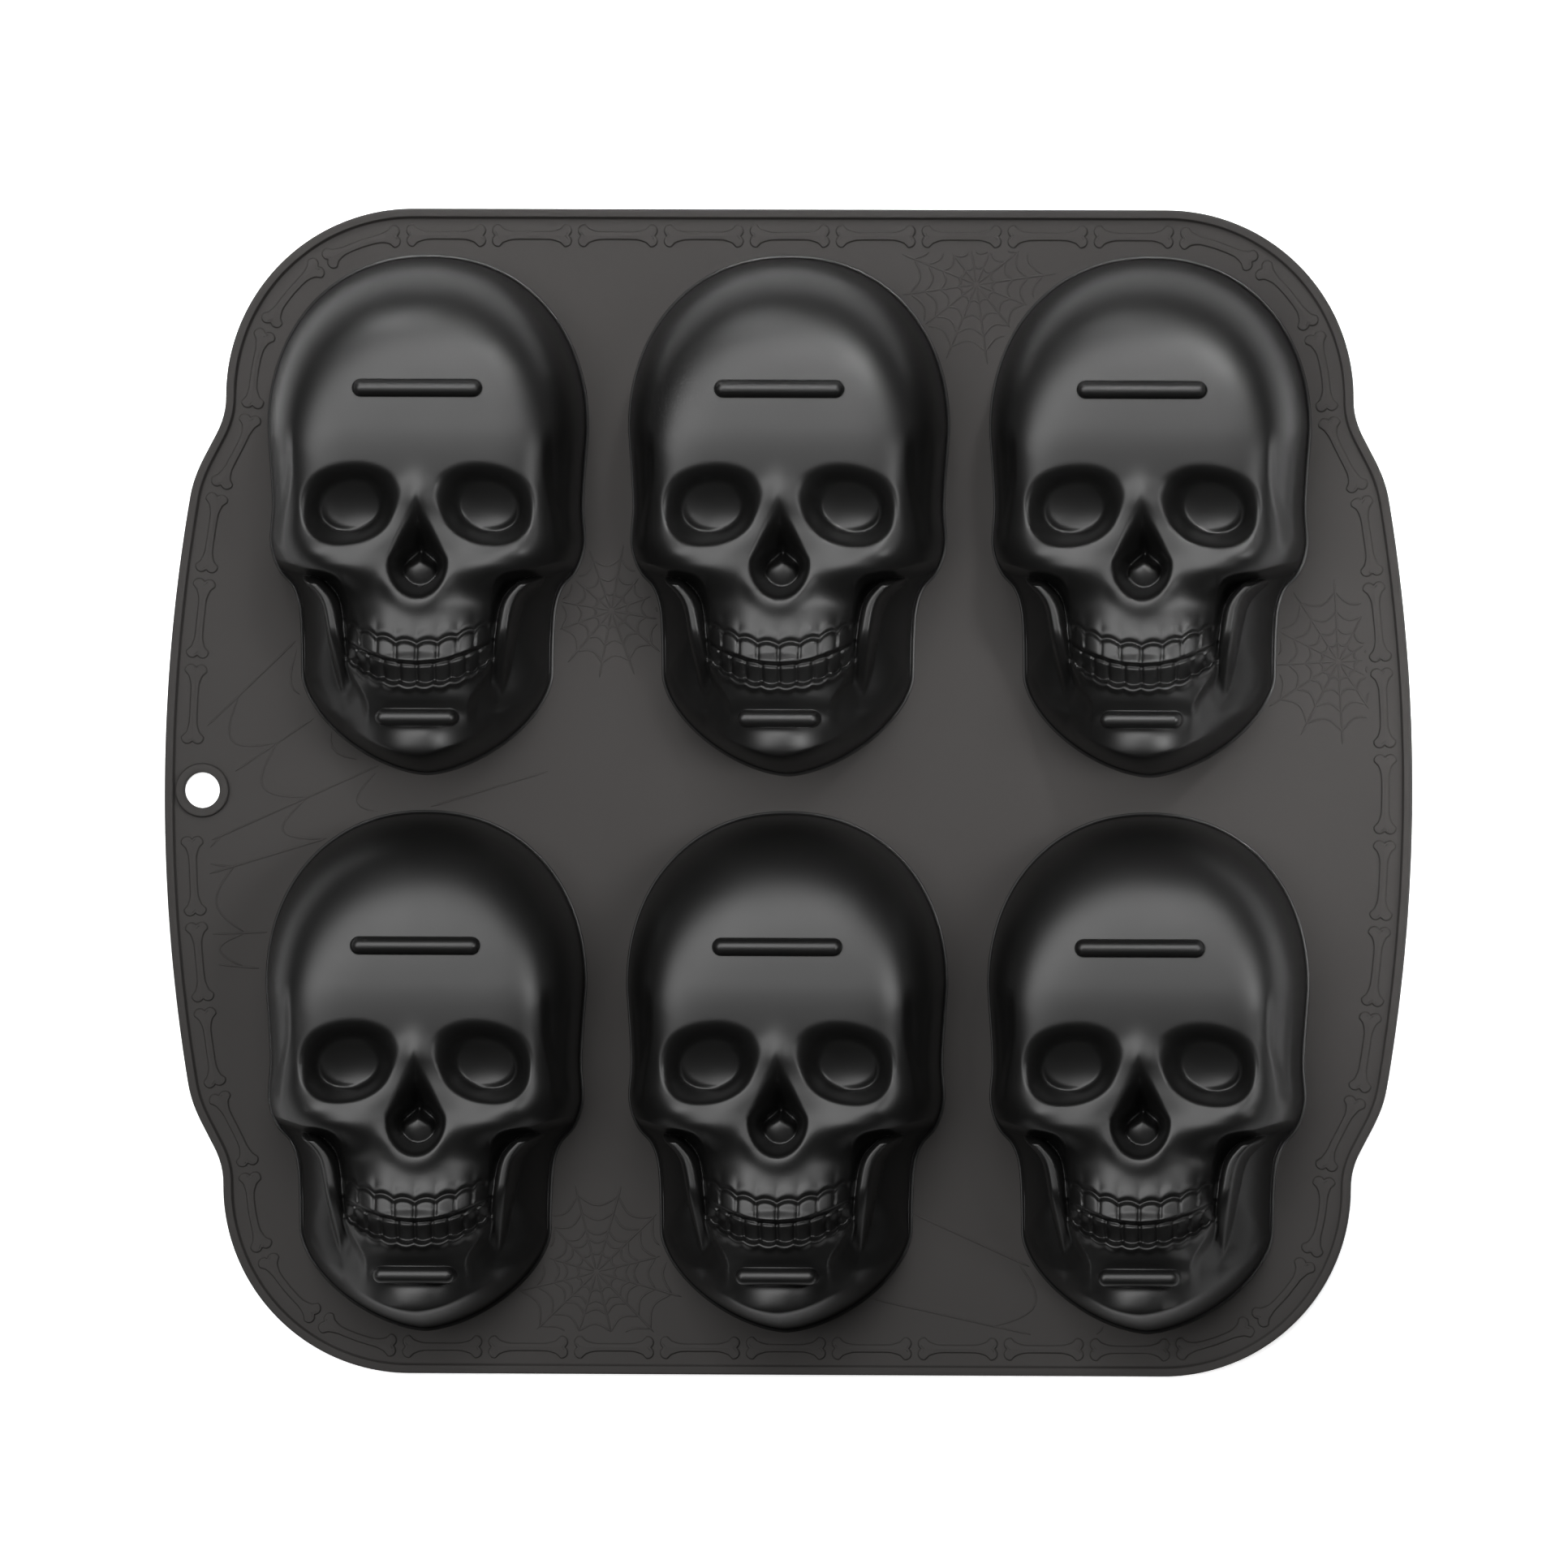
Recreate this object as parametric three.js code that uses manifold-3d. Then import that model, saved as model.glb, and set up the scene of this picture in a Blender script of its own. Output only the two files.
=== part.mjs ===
// Silicone baking mould with six skull cavities, lying upside down on its rim.
// Millimetres, +Z up: the flat face of the tray is on Z = 0 and the cups stand up from it.
// +Y points to the crowns and +X to the right when the cups are seen from above.
import * as THREE from 'three';
import { mergeVertices } from 'three/addons/utils/BufferGeometryUtils.js';
import Module from 'manifold-3d';

// Driving dimensions of the skull cup, outside
const CRANIUM_HALF_WIDTH = 37.2;
const CROWN_RISE = 40.2;
const CROWN_Y = 20;
const JAW_Y = -38;
const JAW_HALF_WIDTH = 29;
const CHIN_DROP = 23;
const CUP_DEPTH = 34;
const CUP_WALL = 1.6;

// Driving dimensions of the tray
const COLUMNS = 3;
const ROWS = 2;
const COLUMN_GAP = 11;
const ROW_GAP = 10;
const END_MARGIN = 11.3;
const SIDE_MARGIN = 10.7;
const CORNER_RADIUS = 44.2;
const GRIP_BULGE = 14.2;
const GRIP_ARC_RADIUS = 418.6;
const SHOULDER_SLOPE = 0.5225;
const SHOULDER_SETBACK = 4.8;
const SHOULDER_ROUND = 1.6;
const SHOULDER_HOLLOW = 2.2;
const WEB_THICKNESS = 2;
const RIM_WIDTH = 2.25;
const RIM_RISE = 1.4;

// Driving dimensions of the hanging hole and its raised ring
const HANG_BORE = 8.4;
const HANG_RING_WIDTH = 2.1;
const HANG_RING_RISE = 1.4;
const HANG_RING_CHAMFER = 0.4;

// Driving dimensions of the foot ribs that the mould stands on in use
const RIB_WIDTH = 3.8;
const RIB_ROUND = 1.2;
const RIB_RISE = 2;
const FOREHEAD_RIB_LENGTH = 30.3;
const FOREHEAD_RIB_INSET = 31;
const CHIN_RIB_LENGTH = 19.3;
const CHIN_RIB_INSET = 12.7;

// Clearance that a piece keeps to the one that it is moulded against
const SEAM = 0.3;

// Outline of the skull: fullness of its two round ends, and the side between them, where each
// point is set in from the cranium's half width or out from the jaw's, at its own height
const CROWN_POWER = 2.15;
const CHIN_POWER = 1.62;
const TEMPLE = { in: 1.1, y: 2 };
const CHEEK = { in: 0.7, y: -7.5 };
const CHEEK_CORNER = { in: 2.6, y: -13.2 };
const JAW_HOLLOW = { out: 2.4, y: -17 };
const JAW_ANGLE = { out: 0.7, y: -22 };

// Relief of the face: places and sizes on the right half, mirrored to the left. A depth is
// measured down from the crown, and a pair is where a form begins and where it is whole.
const DOME_POWER = 4.4;
const FACE_EDGE = 0.84;
const FLANK_EDGE = 0.9;
const BROW = {
  y: 15.2, arch: 1, archX: 13, archWidth: 7, turnX: 18, turn: 0.012,
  drop: 3.6, above: 3.6, below: 3.4, middle: 6.5, middleSlope: [20.2, 3], fade: 9,
};
const EYE = {
  x: 16.3, y: 1.1, halfWidth: 9.7, halfHeight: 8.1, tilt: -6, rim: 0.9, rimWidth: 2.2,
  depth: 14, wallRise: 5, footInset: 1.5, wallInset: 0.3, flare: 0.9,
};
const EYEBALL = { halfWidth: 7, depth: 9, drop: 0.5, flat: 0.6, edgeDepth: 11.5, edge: 0.9 };
const CHEEKBONE = { x: 25.3, y: -5, size: 3.6, stretch: 1.5, rise: 2 };
const CHEEK_RIDGE = { x: 19.5, y: -9.8, size: 3.2, stretch: 1.5, rise: 1.6 };
const CHEEK_DIMPLE = { x: 13, y: -17.5, size: 4.5, stretch: 1.2, depth: 1.5 };
const NASAL_BONE = { y: 3.8, width: 3, height: 4.2, rise: 2 };
const NOSE = { top: 2, waistY: -5.5, waistHalf: 4.5, wideY: -13.2, halfWidth: 6.6, bottom: -19.6, depth: 13 };
const TEMPLE_HOLLOW = {
  x: 30.2, spread: 2.2, spreadOver: [10, -5], edge: [-0.8, 1.4], top: [21, 12], bottom: [-9, -4],
  depth: 4, fade: 0.94,
};
const JAW_GAP = {
  x: 16.8, y: -13.2, turnX: 27, turn: 0.28, corner: 6, edge: [-0.6, 2], depth: 10, fade: [-27, -43],
};
const TOOTH_ARCH = { halfWidth: 17.3, fall: 6.5, top: [-12, -24], bottom: [-40, -47] };
const JAW_BRANCH = {
  x: 18.2, y: -33, lean: 0.16, hook: 3.2, hookY: -15.5, hookHeight: 3, rise: 4.6, width: 1.5,
  top: [-14, -17.5], bottom: [-27, -36],
};
const TEETH = {
  arch: 18.4, upperGum: -29.9, bite: -34.3, lowerGum: -40.5, curve: 0.0175, soft: 1.2,
  upperRise: 0.6, lowerDrop: 1.2, sideSoft: 1.6,
};
const BITE_LINE = { halfWidth: 15.5, width: 1.1, depth: 0.9 };
const CHIN = { inset: 15, halfWidth: 21, below: 15.5, above: 12, power: 2.2, depth: 1, blend: 4 };

// Facets
const CUP_COLUMNS = 16;
const CROWN_BANDS = 5;
const FACE_BANDS = 13;
const CHIN_BANDS = 3;
const FACE_TOP = 0.22;
const FACE_BOTTOM = -0.74;
const OUTLINE_STEP = 40;
const CORNER_STEPS = 8;
const SIDE_STEPS = 18;
const ROUND_STEPS = 20;
const SOCKET_STEPS = 14;
const NOSE_STEPS = 14;
const BITE_STEPS = 8;
const RIB_END_STEPS = 4;
const RIB_ROUND_STEPS = 2;
const RIM_CROWDING = 0.55;
const CORNER_CROWDING = 1.6;
const SLOPE_STEP = 0.2;

// How the wall's thickness turns from upright to sideways between crown and rim
const WALL_TURN = 0.72;
const WALL_EDGE = 0.86;
const STEEPEST = 1.7;

const SKULL_TOP = CROWN_Y + CROWN_RISE;
const SKULL_BOTTOM = JAW_Y - CHIN_DROP;
const SKULL_LENGTH = SKULL_TOP - SKULL_BOTTOM;
const COLUMN_PITCH = 2 * CRANIUM_HALF_WIDTH + COLUMN_GAP;
const ROW_PITCH = SKULL_LENGTH + ROW_GAP;
const CORNER_HALF_WIDTH = CRANIUM_HALF_WIDTH + COLUMN_PITCH * (COLUMNS - 1) / 2 + SIDE_MARGIN;
const HALF_WIDTH = CORNER_HALF_WIDTH + GRIP_BULGE;
const HALF_LENGTH = SKULL_LENGTH / 2 + ROW_PITCH * (ROWS - 1) / 2 + END_MARGIN;
const CORNER_Y = HALF_LENGTH - CORNER_RADIUS;
const FOOT_HEIGHT = CUP_DEPTH + RIB_RISE;
const HANG_RING_RADIUS = HANG_BORE / 2 + HANG_RING_WIDTH;
const HANG_X = -(HALF_WIDTH - RIM_WIDTH - SEAM - HANG_RING_RADIUS);

const silicone = { color: 0x3a3938, roughness: 0.55, metalness: 0 };
const webSilicone = { color: 0x484644, roughness: 0.7, metalness: 0 };

const wasm = await Module();
wasm.setup();

const clamp = (value, low, high) => Math.min(high, Math.max(low, value));
const bell = (distance, width) => Math.exp(-((distance / width) ** 2));

// Smooth step from 0 at a to 1 at b
function ease(value, a, b) {
  const s = clamp((value - a) / (b - a), 0, 1);
  return s * s * (3 - 2 * s);
}

// The larger of two values with the corner between them rounded over k
function roundMax(a, b, k) {
  const h = clamp(0.5 + 0.5 * (a - b) / k, 0, 1);
  return b + (a - b) * h + k * h * (1 - h);
}

// Right half of the skull's outline, from crown to chin
function skullHalfOutline() {
  const half = [];
  for (let i = 0; i < OUTLINE_STEP; i++) {
    const turn = Math.PI / 2 * (1 - i / OUTLINE_STEP);
    const x = CRANIUM_HALF_WIDTH * Math.cos(turn) ** (2 / CROWN_POWER);
    const y = CROWN_Y + CROWN_RISE * Math.sin(turn) ** (2 / CROWN_POWER);
    half.push([x, y]);
  }
  const upper = [TEMPLE, CHEEK, CHEEK_CORNER].map((p) => [CRANIUM_HALF_WIDTH - p.in, p.y]);
  const lower = [JAW_HOLLOW, JAW_ANGLE].map((p) => [JAW_HALF_WIDTH + p.out, p.y]);
  const points = [[CRANIUM_HALF_WIDTH, CROWN_Y], ...upper, ...lower, [JAW_HALF_WIDTH, JAW_Y]];
  const side = new THREE.SplineCurve(points.map(([x, y]) => new THREE.Vector2(x, y)));
  for (const p of side.getPoints(2 * OUTLINE_STEP)) half.push([p.x, p.y]);
  for (let i = 1; i <= OUTLINE_STEP; i++) {
    const turn = Math.PI / 2 * i / OUTLINE_STEP;
    const x = JAW_HALF_WIDTH * Math.cos(turn) ** (2 / CHIN_POWER);
    const y = JAW_Y - CHIN_DROP * Math.sin(turn) ** (2 / CHIN_POWER);
    half.push([x, y]);
  }
  return half;
}

const outlinePolar = skullHalfOutline()
  .map(([x, y]) => ({ angle: Math.atan2(y, Math.max(x, 0)), radius: Math.hypot(x, y) }))
  .sort((a, b) => a.angle - b.angle);

// Distance from the skull's centre to its outline along the direction of (x, y)
function outlineRadius(x, y) {
  const angle = Math.atan2(y, Math.abs(x));
  let i = 1;
  while (i < outlinePolar.length - 1 && outlinePolar[i].angle < angle) i++;
  const a = outlinePolar[i - 1];
  const b = outlinePolar[i];
  return THREE.MathUtils.lerp(a.radius, b.radius, clamp((angle - a.angle) / (b.angle - a.angle), 0, 1));
}

// Round bump of height 1 at a place, drawn out along x by its stretch
function bump(a, y, spot) {
  return bell(Math.hypot((a - spot.x) / spot.stretch, y - spot.y), spot.size);
}

// Set-back of the face below the brow, and the bridge of the nose
function upperFace(a, y, inner) {
  const arch = BROW.arch * bell(a - BROW.archX, BROW.archWidth);
  const brow = BROW.y + arch - BROW.turn * Math.max(a - BROW.turnX, 0) ** 2;
  const step = ease(y, brow + BROW.above, brow - BROW.below);
  const slope = ease(y, ...BROW.middleSlope);
  const middle = bell(a, BROW.middle);
  const back = BROW.drop * THREE.MathUtils.lerp(step, slope, middle) * ease(y, JAW_Y - BROW.fade, JAW_Y);
  const bridge = bell(a, NASAL_BONE.width) * bell(y - NASAL_BONE.y, NASAL_BONE.height);
  return NASAL_BONE.rise * bridge - back * inner;
}

// Rims round the eye sockets, the cheekbones below them and the hollows beside the nose
function raiseCheeks(a, y, inner) {
  const q = Math.hypot((a - EYE.x) / EYE.halfWidth, (y - EYE.y) / EYE.halfHeight);
  const edge = (q - 1) * (EYE.halfWidth + EYE.halfHeight) / 2;
  const rim = EYE.rim * bell(edge - EYE.rimWidth, EYE.rimWidth) * inner;
  const bone = CHEEKBONE.rise * bump(a, y, CHEEKBONE) + CHEEK_RIDGE.rise * bump(a, y, CHEEK_RIDGE);
  return rim + bone * ease(edge, -1, 1) - CHEEK_DIMPLE.depth * bump(a, y, CHEEK_DIMPLE);
}

// Full chin as a low dome of its own that grows out of the jaw
function raiseChin(z, a, y) {
  const dy = y - SKULL_BOTTOM - CHIN.inset;
  const reach = (a / CHIN.halfWidth) ** 2 + (dy / (dy < 0 ? CHIN.below : CHIN.above)) ** 2;
  const top = CUP_DEPTH - CHIN.depth;
  return roundMax(z, top * Math.sqrt(Math.max(1 - reach ** CHIN.power, 0)), CHIN.blend);
}

// Depth of the hollow temple
function templeHollow(a, y, rho) {
  const x = TEMPLE_HOLLOW.x + TEMPLE_HOLLOW.spread * ease(y, ...TEMPLE_HOLLOW.spreadOver);
  const height = ease(y, ...TEMPLE_HOLLOW.top) * ease(y, ...TEMPLE_HOLLOW.bottom);
  const [from, to] = TEMPLE_HOLLOW.edge;
  return TEMPLE_HOLLOW.depth * ease(a, x + from, x + to) * height * (1 - ease(rho, TEMPLE_HOLLOW.fade, 1));
}

// Share of the gap between upper jaw and jaw branch that is open here
function jawGap(a, y, rho) {
  const out = a - JAW_GAP.x;
  const down = JAW_GAP.y + JAW_GAP.turn * Math.max(a - JAW_GAP.turnX, 0) - y;
  const past = out > 0 && down > 0 ? (out * down - JAW_GAP.corner) / Math.hypot(out, down) : -1;
  return ease(past, ...JAW_GAP.edge) * (1 - ease(y, ...JAW_GAP.fade)) * (1 - ease(rho, FLANK_EDGE, 1));
}

// Hollow temples, the gap behind the upper jaw, the rounded tooth arch and the jaw's upright branch
function carveSides(z, a, y, rho) {
  const gap = jawGap(a, y, rho);
  const arch = ease(y, ...TOOTH_ARCH.top) * (1 - ease(y, ...TOOTH_ARCH.bottom));
  const roll = TOOTH_ARCH.fall * clamp(a / TOOTH_ARCH.halfWidth, 0, 1) ** 4 * arch * (1 - gap);
  const hook = JAW_BRANCH.hook * bell(y - JAW_BRANCH.hookY, JAW_BRANCH.hookHeight);
  const centre = JAW_BRANCH.x + JAW_BRANCH.lean * (y - JAW_BRANCH.y) + hook;
  const along = ease(y, ...JAW_BRANCH.top) * (1 - ease(y, ...JAW_BRANCH.bottom));
  const branch = JAW_BRANCH.rise * bell(a - centre, JAW_BRANCH.width) * along;
  return z - templeHollow(a, y, rho) - JAW_GAP.depth * gap - roll + branch;
}

// Two rows of teeth as bands on the arch: the upper one stands out, the lower one lies back
function raiseTeeth(a, y) {
  const bend = TEETH.curve * a ** 2;
  const band = (low, high) => ease(y, low + bend, low + bend + TEETH.soft)
    * (1 - ease(y, high + bend - TEETH.soft, high + bend));
  const upper = TEETH.upperRise * band(TEETH.bite, TEETH.upperGum);
  const lower = TEETH.lowerDrop * band(TEETH.lowerGum, TEETH.bite);
  return (upper - lower) * (1 - ease(a, TEETH.arch - TEETH.sideSoft, TEETH.arch));
}

// Height of the cup's outside above the tray at (x, y), measured from the skull's centre
function skullHeight(x, y, rho) {
  const a = Math.abs(x);
  const dome = CUP_DEPTH * Math.sqrt(Math.max(1 - rho ** DOME_POWER, 0));
  const inner = 1 - ease(rho, FACE_EDGE, 1);
  const face = dome + upperFace(a, y, inner) + raiseCheeks(a, y, inner);
  const jaw = raiseChin(carveSides(face, a, y, rho), a, y) + raiseTeeth(a, y);
  return THREE.MathUtils.lerp(jaw, dome, ease(rho, FLANK_EDGE, 1));
}

// Evenly divided bands between two ends, without the first end
function bands(from, to, count) {
  return Array.from({ length: count }, (_, i) => from + (to - from) * (i + 1) / count);
}

// Grid over the skull: a square of cells bent to the outline, with rows closer together on the face
function skullGrid() {
  const rows = [-1, ...bands(-1, FACE_BOTTOM, CHIN_BANDS), ...bands(FACE_BOTTOM, FACE_TOP, FACE_BANDS),
    ...bands(FACE_TOP, 1, CROWN_BANDS)];
  const columns = [-1, ...bands(-1, 1, CUP_COLUMNS)];
  const cells = rows.map((t) => columns.map((s) => {
    const dx = s * Math.sqrt(1 - t * t / 2);
    const dy = t * Math.sqrt(1 - s * s / 2);
    const reach = Math.min(Math.hypot(dx, dy), 1);
    const rho = THREE.MathUtils.lerp(reach, Math.sin(reach * Math.PI / 2), RIM_CROWDING);
    const length = t > 0 ? SKULL_TOP : -SKULL_BOTTOM;
    const angle = Math.atan2(dy * length, dx * CRANIUM_HALF_WIDTH);
    const radius = rho * outlineRadius(Math.cos(angle), Math.sin(angle));
    return { x: radius * Math.cos(angle), y: radius * Math.sin(angle), rho };
  }));
  return { cells, lastRow: rows.length - 1, lastColumn: columns.length - 1 };
}

const grid = skullGrid();

// Slope of the cup's outside, as the length of one unit of plan measured along the surface
function steepness(x, y) {
  const at = (px, py) => skullHeight(px, py, clamp(Math.hypot(px, py) / outlineRadius(px, py), 0, 1));
  const rise = (dx, dy) => (at(x + dx, y + dy) - at(x - dx, y - dy)) / (2 * SLOPE_STEP);
  return Math.hypot(1, rise(SLOPE_STEP, 0), rise(0, SLOPE_STEP));
}

// Points of the cup's outside and inside for each grid cell corner, in the skull's own frame
function cupPoint(cell, inside) {
  const z = skullHeight(cell.x, cell.y, cell.rho);
  if (!inside) return [cell.x, cell.y, z];
  const radius = Math.hypot(cell.x, cell.y);
  const shift = radius > 0 ? 1 - CUP_WALL * ease(cell.rho, WALL_TURN, 1) / radius : 1;
  const drop = CUP_WALL * Math.min(steepness(cell.x, cell.y), STEEPEST) * (1 - ease(cell.rho, WALL_EDGE, 1));
  return [cell.x * shift, cell.y * shift, Math.max(z - drop, 0)];
}

// Boundary of the grid as cell corners, anticlockwise
function gridLoop() {
  const { lastRow, lastColumn } = grid;
  const loop = [];
  for (let j = 0; j < lastColumn; j++) loop.push([0, j]);
  for (let i = 0; i < lastRow; i++) loop.push([i, lastColumn]);
  for (let j = lastColumn; j > 0; j--) loop.push([lastRow, j]);
  for (let i = lastRow; i > 0; i--) loop.push([i, 0]);
  return loop;
}

// Triangles of the grid, split away from the middle so that no corner triangle lies on the outline
function gridTriangles(index, flip) {
  const { lastRow, lastColumn } = grid;
  const faces = [];
  const add = (a, b, c) => faces.push(...(flip ? [a, c, b] : [a, b, c]));
  for (let i = 0; i < lastRow; i++) {
    for (let j = 0; j < lastColumn; j++) {
      const [a, b, c, d] = [index(i, j), index(i, j + 1), index(i + 1, j + 1), index(i + 1, j)];
      const rising = (i < lastRow / 2) === (j < lastColumn / 2);
      if (rising) {
        add(a, b, c);
        add(a, c, d);
      } else {
        add(a, b, d);
        add(b, c, d);
      }
    }
  }
  return faces;
}

function geometryFrom(points, faces) {
  const geometry = new THREE.BufferGeometry();
  geometry.setAttribute('position', new THREE.Float32BufferAttribute(points.flat(), 3));
  geometry.setIndex(faces);
  return geometry;
}

// Closed body between two sheets of the same grid, joined by a band round their edges
function bodyBetween(upper, lower) {
  const across = grid.lastColumn + 1;
  const top = (i, j) => i * across + j;
  const under = (i, j) => upper.length + top(i, j);
  const faces = [...gridTriangles(top, false), ...gridTriangles(under, true)];
  const loop = gridLoop();
  loop.forEach(([i, j], k) => {
    const [m, n] = loop[(k + 1) % loop.length];
    faces.push(top(i, j), under(i, j), under(m, n), top(i, j), under(m, n), top(m, n));
  });
  return geometryFrom([...upper, ...lower], faces);
}

// Solid of revolution squeezed to an oval, set at an eye and leaning with the face
function ovalCutter(profile, side) {
  const cutter = new THREE.LatheGeometry(profile.map(([x, z]) => new THREE.Vector2(x, z)), SOCKET_STEPS);
  cutter.rotateX(Math.PI / 2);
  cutter.scale(1, EYE.halfHeight / EYE.halfWidth, 1);
  cutter.rotateZ(side * THREE.MathUtils.degToRad(EYE.tilt));
  cutter.translate(side * EYE.x, EYE.y, 0);
  return toSolid(cutter);
}

// Eye socket: a tapered bowl with the closed eyeball standing in it, grown all round for the inside
function socketCutter(side, grow) {
  const ball = EYEBALL.halfWidth - grow;
  const wall = EYE.halfWidth + grow;
  const level = (depth) => CUP_DEPTH - depth - grow;
  const above = CUP_DEPTH + CUP_WALL;
  return ovalCutter([
    [0, level(EYEBALL.depth)],
    [EYEBALL.flat * ball, level(EYEBALL.depth + EYEBALL.drop)],
    [EYEBALL.edge * ball, level(EYEBALL.edgeDepth)],
    [ball, level(EYE.depth)],
    [wall - EYE.footInset, level(EYE.depth)],
    [wall - EYE.wallInset, level(EYE.depth - EYE.wallRise)],
    [wall + EYE.flare, above],
    [0, above],
  ], side);
}

// Pear-shaped nose opening, straight down to its floor
function noseCutter(grow) {
  const corners = [
    [0, NOSE.top + grow], [NOSE.waistHalf + grow, NOSE.waistY], [NOSE.halfWidth + grow, NOSE.wideY],
    [0, NOSE.bottom - grow], [-NOSE.halfWidth - grow, NOSE.wideY], [-NOSE.waistHalf - grow, NOSE.waistY],
  ];
  const curve = new THREE.CatmullRomCurve3(corners.map(([x, y]) => new THREE.Vector3(x, y, 0)), true);
  const edge = curve.getSpacedPoints(NOSE_STEPS).slice(0, -1).reverse();
  const depth = NOSE.depth + grow + CUP_WALL;
  const cutter = new THREE.ExtrudeGeometry(new THREE.Shape(edge), { depth, bevelEnabled: false });
  cutter.translate(0, 0, CUP_DEPTH - NOSE.depth - grow);
  return toSolid(cutter);
}

// Groove between the two rows of teeth, as deep everywhere below the skull's surface
function biteGroove(skull) {
  const upper = [];
  const lower = [];
  for (let i = 0; i <= BITE_STEPS; i++) {
    const x = BITE_LINE.halfWidth * (2 * i / BITE_STEPS - 1);
    const y = TEETH.bite + TEETH.curve * x ** 2;
    upper.push(new THREE.Vector2(x, y + BITE_LINE.width / 2));
    lower.push(new THREE.Vector2(x, y - BITE_LINE.width / 2));
  }
  const shape = new THREE.Shape([...lower, ...upper.reverse()]);
  const band = new THREE.ExtrudeGeometry(shape, { depth: CUP_DEPTH, bevelEnabled: false });
  return toSolid(band).subtract(skull.translate([0, 0, -BITE_LINE.depth]));
}

// Filled skull with its openings, carried on below Z = 0: the cup's outside, or its cavity
function skullSolid(inside) {
  const grow = inside ? CUP_WALL : 0;
  const sheet = grid.cells.flat().map((cell) => cupPoint(cell, inside));
  const skull = toSolid(bodyBetween(sheet, sheet.map(([x, y]) => [x, y, -CUP_WALL - grow])))
    .subtract(socketCutter(1, grow))
    .subtract(socketCutter(-1, grow))
    .subtract(noseCutter(grow));
  return inside ? skull : skull.subtract(biteGroove(skull));
}

function toSolid(geometry) {
  const bare = geometry.clone();
  bare.deleteAttribute('normal');
  bare.deleteAttribute('uv');
  const merged = mergeVertices(bare, 1e-4);
  const mesh = new wasm.Mesh({
    numProp: 3,
    vertProperties: new Float32Array(merged.attributes.position.array),
    triVerts: new Uint32Array(merged.index.array),
  });
  return new wasm.Manifold(mesh);
}

function fromSolid(solid) {
  const mesh = solid.getMesh();
  const geometry = new THREE.BufferGeometry();
  geometry.setAttribute('position', new THREE.BufferAttribute(new Float32Array(mesh.vertProperties), 3));
  geometry.setIndex(new THREE.BufferAttribute(new Uint32Array(mesh.triVerts), 1));
  return geometry;
}

// Straight bar with round ends and a rounded top, its underside cut to the skull
function ribGeometry(length, y, seat) {
  const reach = (length - RIB_WIDTH) / 2;
  const shape = new THREE.Shape();
  shape.absarc(reach, 0, RIB_WIDTH / 2, -Math.PI / 2, Math.PI / 2);
  shape.absarc(-reach, 0, RIB_WIDTH / 2, Math.PI / 2, 3 * Math.PI / 2);
  const bar = new THREE.ExtrudeGeometry(shape, {
    depth: FOOT_HEIGHT - 2 * RIB_ROUND,
    curveSegments: RIB_END_STEPS,
    bevelThickness: RIB_ROUND,
    bevelSize: RIB_ROUND,
    bevelOffset: -RIB_ROUND,
    bevelSegments: RIB_ROUND_STEPS,
  });
  bar.translate(0, y, RIB_ROUND);
  return fromSolid(toSolid(bar).subtract(seat));
}

// Half width of the tray at y, from the middle up to the corner: grip arc, slanted shoulder, corner
function trayHalfWidth(y) {
  const arc = HALF_WIDTH - GRIP_ARC_RADIUS + Math.sqrt(GRIP_ARC_RADIUS ** 2 - y ** 2);
  const slant = CORNER_HALF_WIDTH + SHOULDER_SLOPE * (CORNER_Y - SHOULDER_SETBACK - y);
  const grip = -roundMax(-arc, -slant, SHOULDER_ROUND);
  return roundMax(grip, CORNER_HALF_WIDTH, SHOULDER_HOLLOW);
}

// Outline of the tray, anticlockwise, made of one quarter mirrored into the others
function trayOutline() {
  const quarter = [];
  for (let i = 0; i < SIDE_STEPS; i++) {
    const share = i / SIDE_STEPS;
    const y = CORNER_Y * (1 - (1 - share) ** CORNER_CROWDING);
    quarter.push(new THREE.Vector2(trayHalfWidth(y), y));
  }
  for (let i = 0; i <= CORNER_STEPS; i++) {
    const turn = Math.PI / 2 * i / CORNER_STEPS;
    const x = CORNER_HALF_WIDTH - CORNER_RADIUS + CORNER_RADIUS * Math.cos(turn);
    quarter.push(new THREE.Vector2(x, CORNER_Y + CORNER_RADIUS * Math.sin(turn)));
  }
  const mirrored = (sx, sy) => quarter.map((p) => new THREE.Vector2(p.x * sx, p.y * sy));
  return [
    ...quarter,
    ...mirrored(-1, 1).reverse(),
    ...mirrored(-1, -1).slice(1),
    ...mirrored(1, -1).reverse().slice(0, -1),
  ];
}

// The same outline moved inwards by a distance
function insetOutline(points, distance) {
  return points.map((p, i) => {
    const before = points[(i + points.length - 1) % points.length];
    const after = points[(i + 1) % points.length];
    const along = after.clone().sub(before).normalize();
    return new THREE.Vector2(p.x - along.y * distance, p.y + along.x * distance);
  });
}

function skullCentres() {
  const centres = [];
  for (let row = 0; row < ROWS; row++) {
    for (let column = 0; column < COLUMNS; column++) {
      const x = (column - (COLUMNS - 1) / 2) * COLUMN_PITCH;
      const y = ((ROWS - 1) / 2 - row) * ROW_PITCH;
      centres.push({ x, y });
    }
  }
  return centres;
}

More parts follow.
